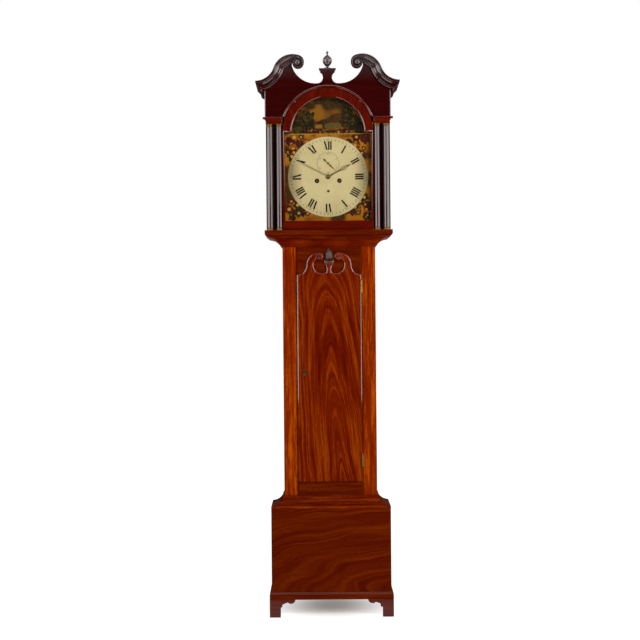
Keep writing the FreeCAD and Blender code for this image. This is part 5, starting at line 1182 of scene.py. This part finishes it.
class CLOCK_OT_stage(bpy.types.Operator):
    """Pale floor, studio light and the camera"""

    bl_idname = "clock.stage"
    bl_label = "Stage"

    def execute(self, context):
        scene = context.scene
        scene.view_settings.view_transform = "Standard"
        self.lay_floor(scene)
        self.light_world(scene)
        middle, dial, top = (0, 0, 1.1), (0, 0, 1.9), (0, -0.2, 2.0)
        for side, name in ((-1, "left"), (1, "right")):
            beside, ceiling = (side * 1.3, -1.5, 0.25), (side * 1.3, -1.5, 3)
            self.hang_softbox(scene, f"panel_{name}", (side * 2.72, -1.27, 1.95), middle, 290, (5.6, 2.7))
            self.hang_softbox(scene, f"strip_{name}", (side * 1.03, -3.95, 2.4), dial, 10, (0.95, 1.2))
            self.hang_softbox(scene, f"reflector_{name}", beside, ceiling, 34, (1.8, 1.6))
        self.hang_softbox(scene, "panel_top", (0, -1.4, 3.7), top, 38, (3.0, 1.0))
        self.hang_softbox(scene, "softbox_front", (1.3, -4.0, 2.5), middle, 165, (1.2, 1.2), lights_up=True)
        self.set_camera(scene)
        return {"FINISHED"}

    def lay_floor(self, scene):
        """Wide pale floor that keeps the clock's shadow under a painted shadow behind and under the clock,
        glows as painted bounce light, and is as light as the backdrop elsewhere.
        """
        reach = 30.0
        shadow, spread = (0, -0.667, 0), (1 / 0.21, 1 / 0.3, 1)
        material, tree, place = blank("white_floor_paint")
        rays = add(tree, "LightPath").node.outputs
        tone = linear("#f2f2f2")
        # The camera sees a greyer floor, and the polish a near-black one.
        for ray, code in (("Is Camera Ray", "#b4b4b4"), ("Is Glossy Ray", "#0a0a0a")):
            tone = add(tree, "Mix", rays[ray], tone, linear(code), data_type="RGBA")
        # Painted shadow: for the camera the floor's glow falls to 0.17 in an ellipse behind and under the
        # clock.
        around = add(tree, "Mapping", place, inputs={"Location": shadow, "Scale": spread})
        away = add(tree, "VectorMath", around, operation="LENGTH")
        painted_shadow_fade = add(tree, "MapRange", away, 0.1, 1.5, 0.17, 1.0, interpolation_type="SMOOTHSTEP")
        # Painted bounce light: the floor glows for diffuse rays and lights the clock from below.
        painted_bounce = add(tree, "Math", rays["Is Diffuse Ray"], 0.45, operation="MULTIPLY")
        lift = add(tree, "Math", rays["Is Camera Ray"], painted_shadow_fade, painted_bounce, operation="MULTIPLY_ADD")
        glow = add(tree, "Emission", linear("#ffffff"), lift)
        add(tree, "OutputMaterial", add(tree, "AddShader", add(tree, "BsdfDiffuse", tone), glow))
        corners = [(-reach, -reach, 0), (reach, -reach, 0), (reach, reach, 0), (-reach, reach, 0)]
        mesh = new_mesh("floor_form", corners, [(0, 1, 2, 3)])
        mesh.materials.append(material)
        floor = bpy.data.objects.new("floor", mesh)
        scene.collection.objects.link(floor)

    def light_world(self, scene):
        """White backdrop, also in polish, metal and glass that face it, in a dim room with a pale ceiling."""
        world = bpy.data.worlds.new("studio")
        scene.world = world
        world.use_nodes = True
        tree = world.node_tree
        tree.nodes.clear()
        axes = add(tree, "SeparateXYZ", add(tree, "TexCoord")).node.outputs
        rays = add(tree, "LightPath").node.outputs
        room = add(tree, "MapRange", axes["Z"], 0.1, 0.6, 0.006, 0.8)
        dim = add(tree, "Math", rays["Is Diffuse Ray"], -0.7, 1.0, operation="MULTIPLY_ADD")
        shade = add(tree, "Math", room, dim, operation="MULTIPLY")
        behind = add(tree, "MapRange", axes["Y"], 0.15, 0.5)
        polish, glass = rays["Is Glossy Ray"], rays["Is Transmission Ray"]
        either = add(tree, "Math", polish, glass, operation="ADD", use_clamp=True)
        mirrored = add(tree, "Math", behind, either, operation="MULTIPLY")
        white = add(tree, "Math", rays["Is Camera Ray"], mirrored, operation="MAXIMUM")
        level = add(tree, "Mix", white, shade, 1.0)
        add(tree, "OutputWorld", add(tree, "Background", linear("#ffffff"), level))

    def hang_softbox(self, scene, name, place, target, power, size, lights_up=False):
        """Rectangular softbox aimed at a point: one lights the clock, the others only show in its polish."""
        lamp = bpy.data.lights.new(name, "AREA")
        lamp.shape = "RECTANGLE"
        lamp.size, lamp.size_y = size
        lamp.energy = power
        box = bpy.data.objects.new(name, lamp)
        scene.collection.objects.link(box)
        aim = Vector(place) - Vector(target)
        box.matrix_world = Matrix.Translation(place) @ aim.to_track_quat("Z", "Y").to_matrix().to_4x4()
        box.visible_camera = False
        box.visible_diffuse = lights_up
        box.visible_glossy = not lights_up

    def set_camera(self, scene):
        """Long lens square to the front, turned a little about its own axis as the photograph is."""
        place, lean = (-0.0352, -6.8, 1.106), -0.0085
        lens = bpy.data.cameras.new("camera")
        lens.sensor_width = 36
        lens.lens = 101.2
        camera = bpy.data.objects.new("camera", lens)
        scene.collection.objects.link(camera)
        level = Matrix.Rotation(math.radians(90), 4, "X") @ Matrix.Rotation(lean, 4, "Z")
        camera.matrix_world = Matrix.Translation(place) @ level
        scene.camera = camera


PIECES = (
    CLOCK_OT_case, CLOCK_OT_trunk_door, CLOCK_OT_hood, CLOCK_OT_swan_necks, CLOCK_OT_columns, CLOCK_OT_dial,
    CLOCK_OT_hands, CLOCK_OT_movement, CLOCK_OT_lines, CLOCK_OT_stage,
)


class CLOCK_PT_panel(bpy.types.Panel):
    """Sizes, colours and pieces of the clock"""

    bl_idname = "CLOCK_PT_panel"
    bl_label = "Longcase clock"
    bl_space_type = "VIEW_3D"
    bl_region_type = "UI"
    bl_category = "Clock"

    def draw(self, context):
        layout = self.layout
        for group in (context.scene.clock_sizes, context.scene.clock_colours):
            for name in group.__annotations__:
                layout.prop(group, name)
        for piece in PIECES:
            layout.operator(piece.bl_idname)


CLASSES = (ClockSizes, ClockColours) + PIECES + (CLOCK_PT_panel,)


def register():
    """Add the clock's classes and its properties on the scene."""
    for item in CLASSES:
        bpy.utils.register_class(item)
    bpy.types.Scene.clock_sizes = PointerProperty(type=ClockSizes)
    bpy.types.Scene.clock_colours = PointerProperty(type=ClockColours)


def unregister():
    """Take them away again."""
    del bpy.types.Scene.clock_colours
    del bpy.types.Scene.clock_sizes
    for item in reversed(CLASSES):
        bpy.utils.unregister_class(item)


def main():
    """Build every piece in order."""
    register()
    make_finishes(bpy.context.scene.clock_colours)
    bpy.ops.clock.case()
    bpy.ops.clock.trunk_door()
    bpy.ops.clock.hood()
    bpy.ops.clock.swan_necks()
    bpy.ops.clock.columns()
    bpy.ops.clock.dial()
    bpy.ops.clock.hands()
    bpy.ops.clock.movement()
    bpy.ops.clock.lines()
    bpy.ops.clock.stage()


if __name__ == "__main__":
    main()
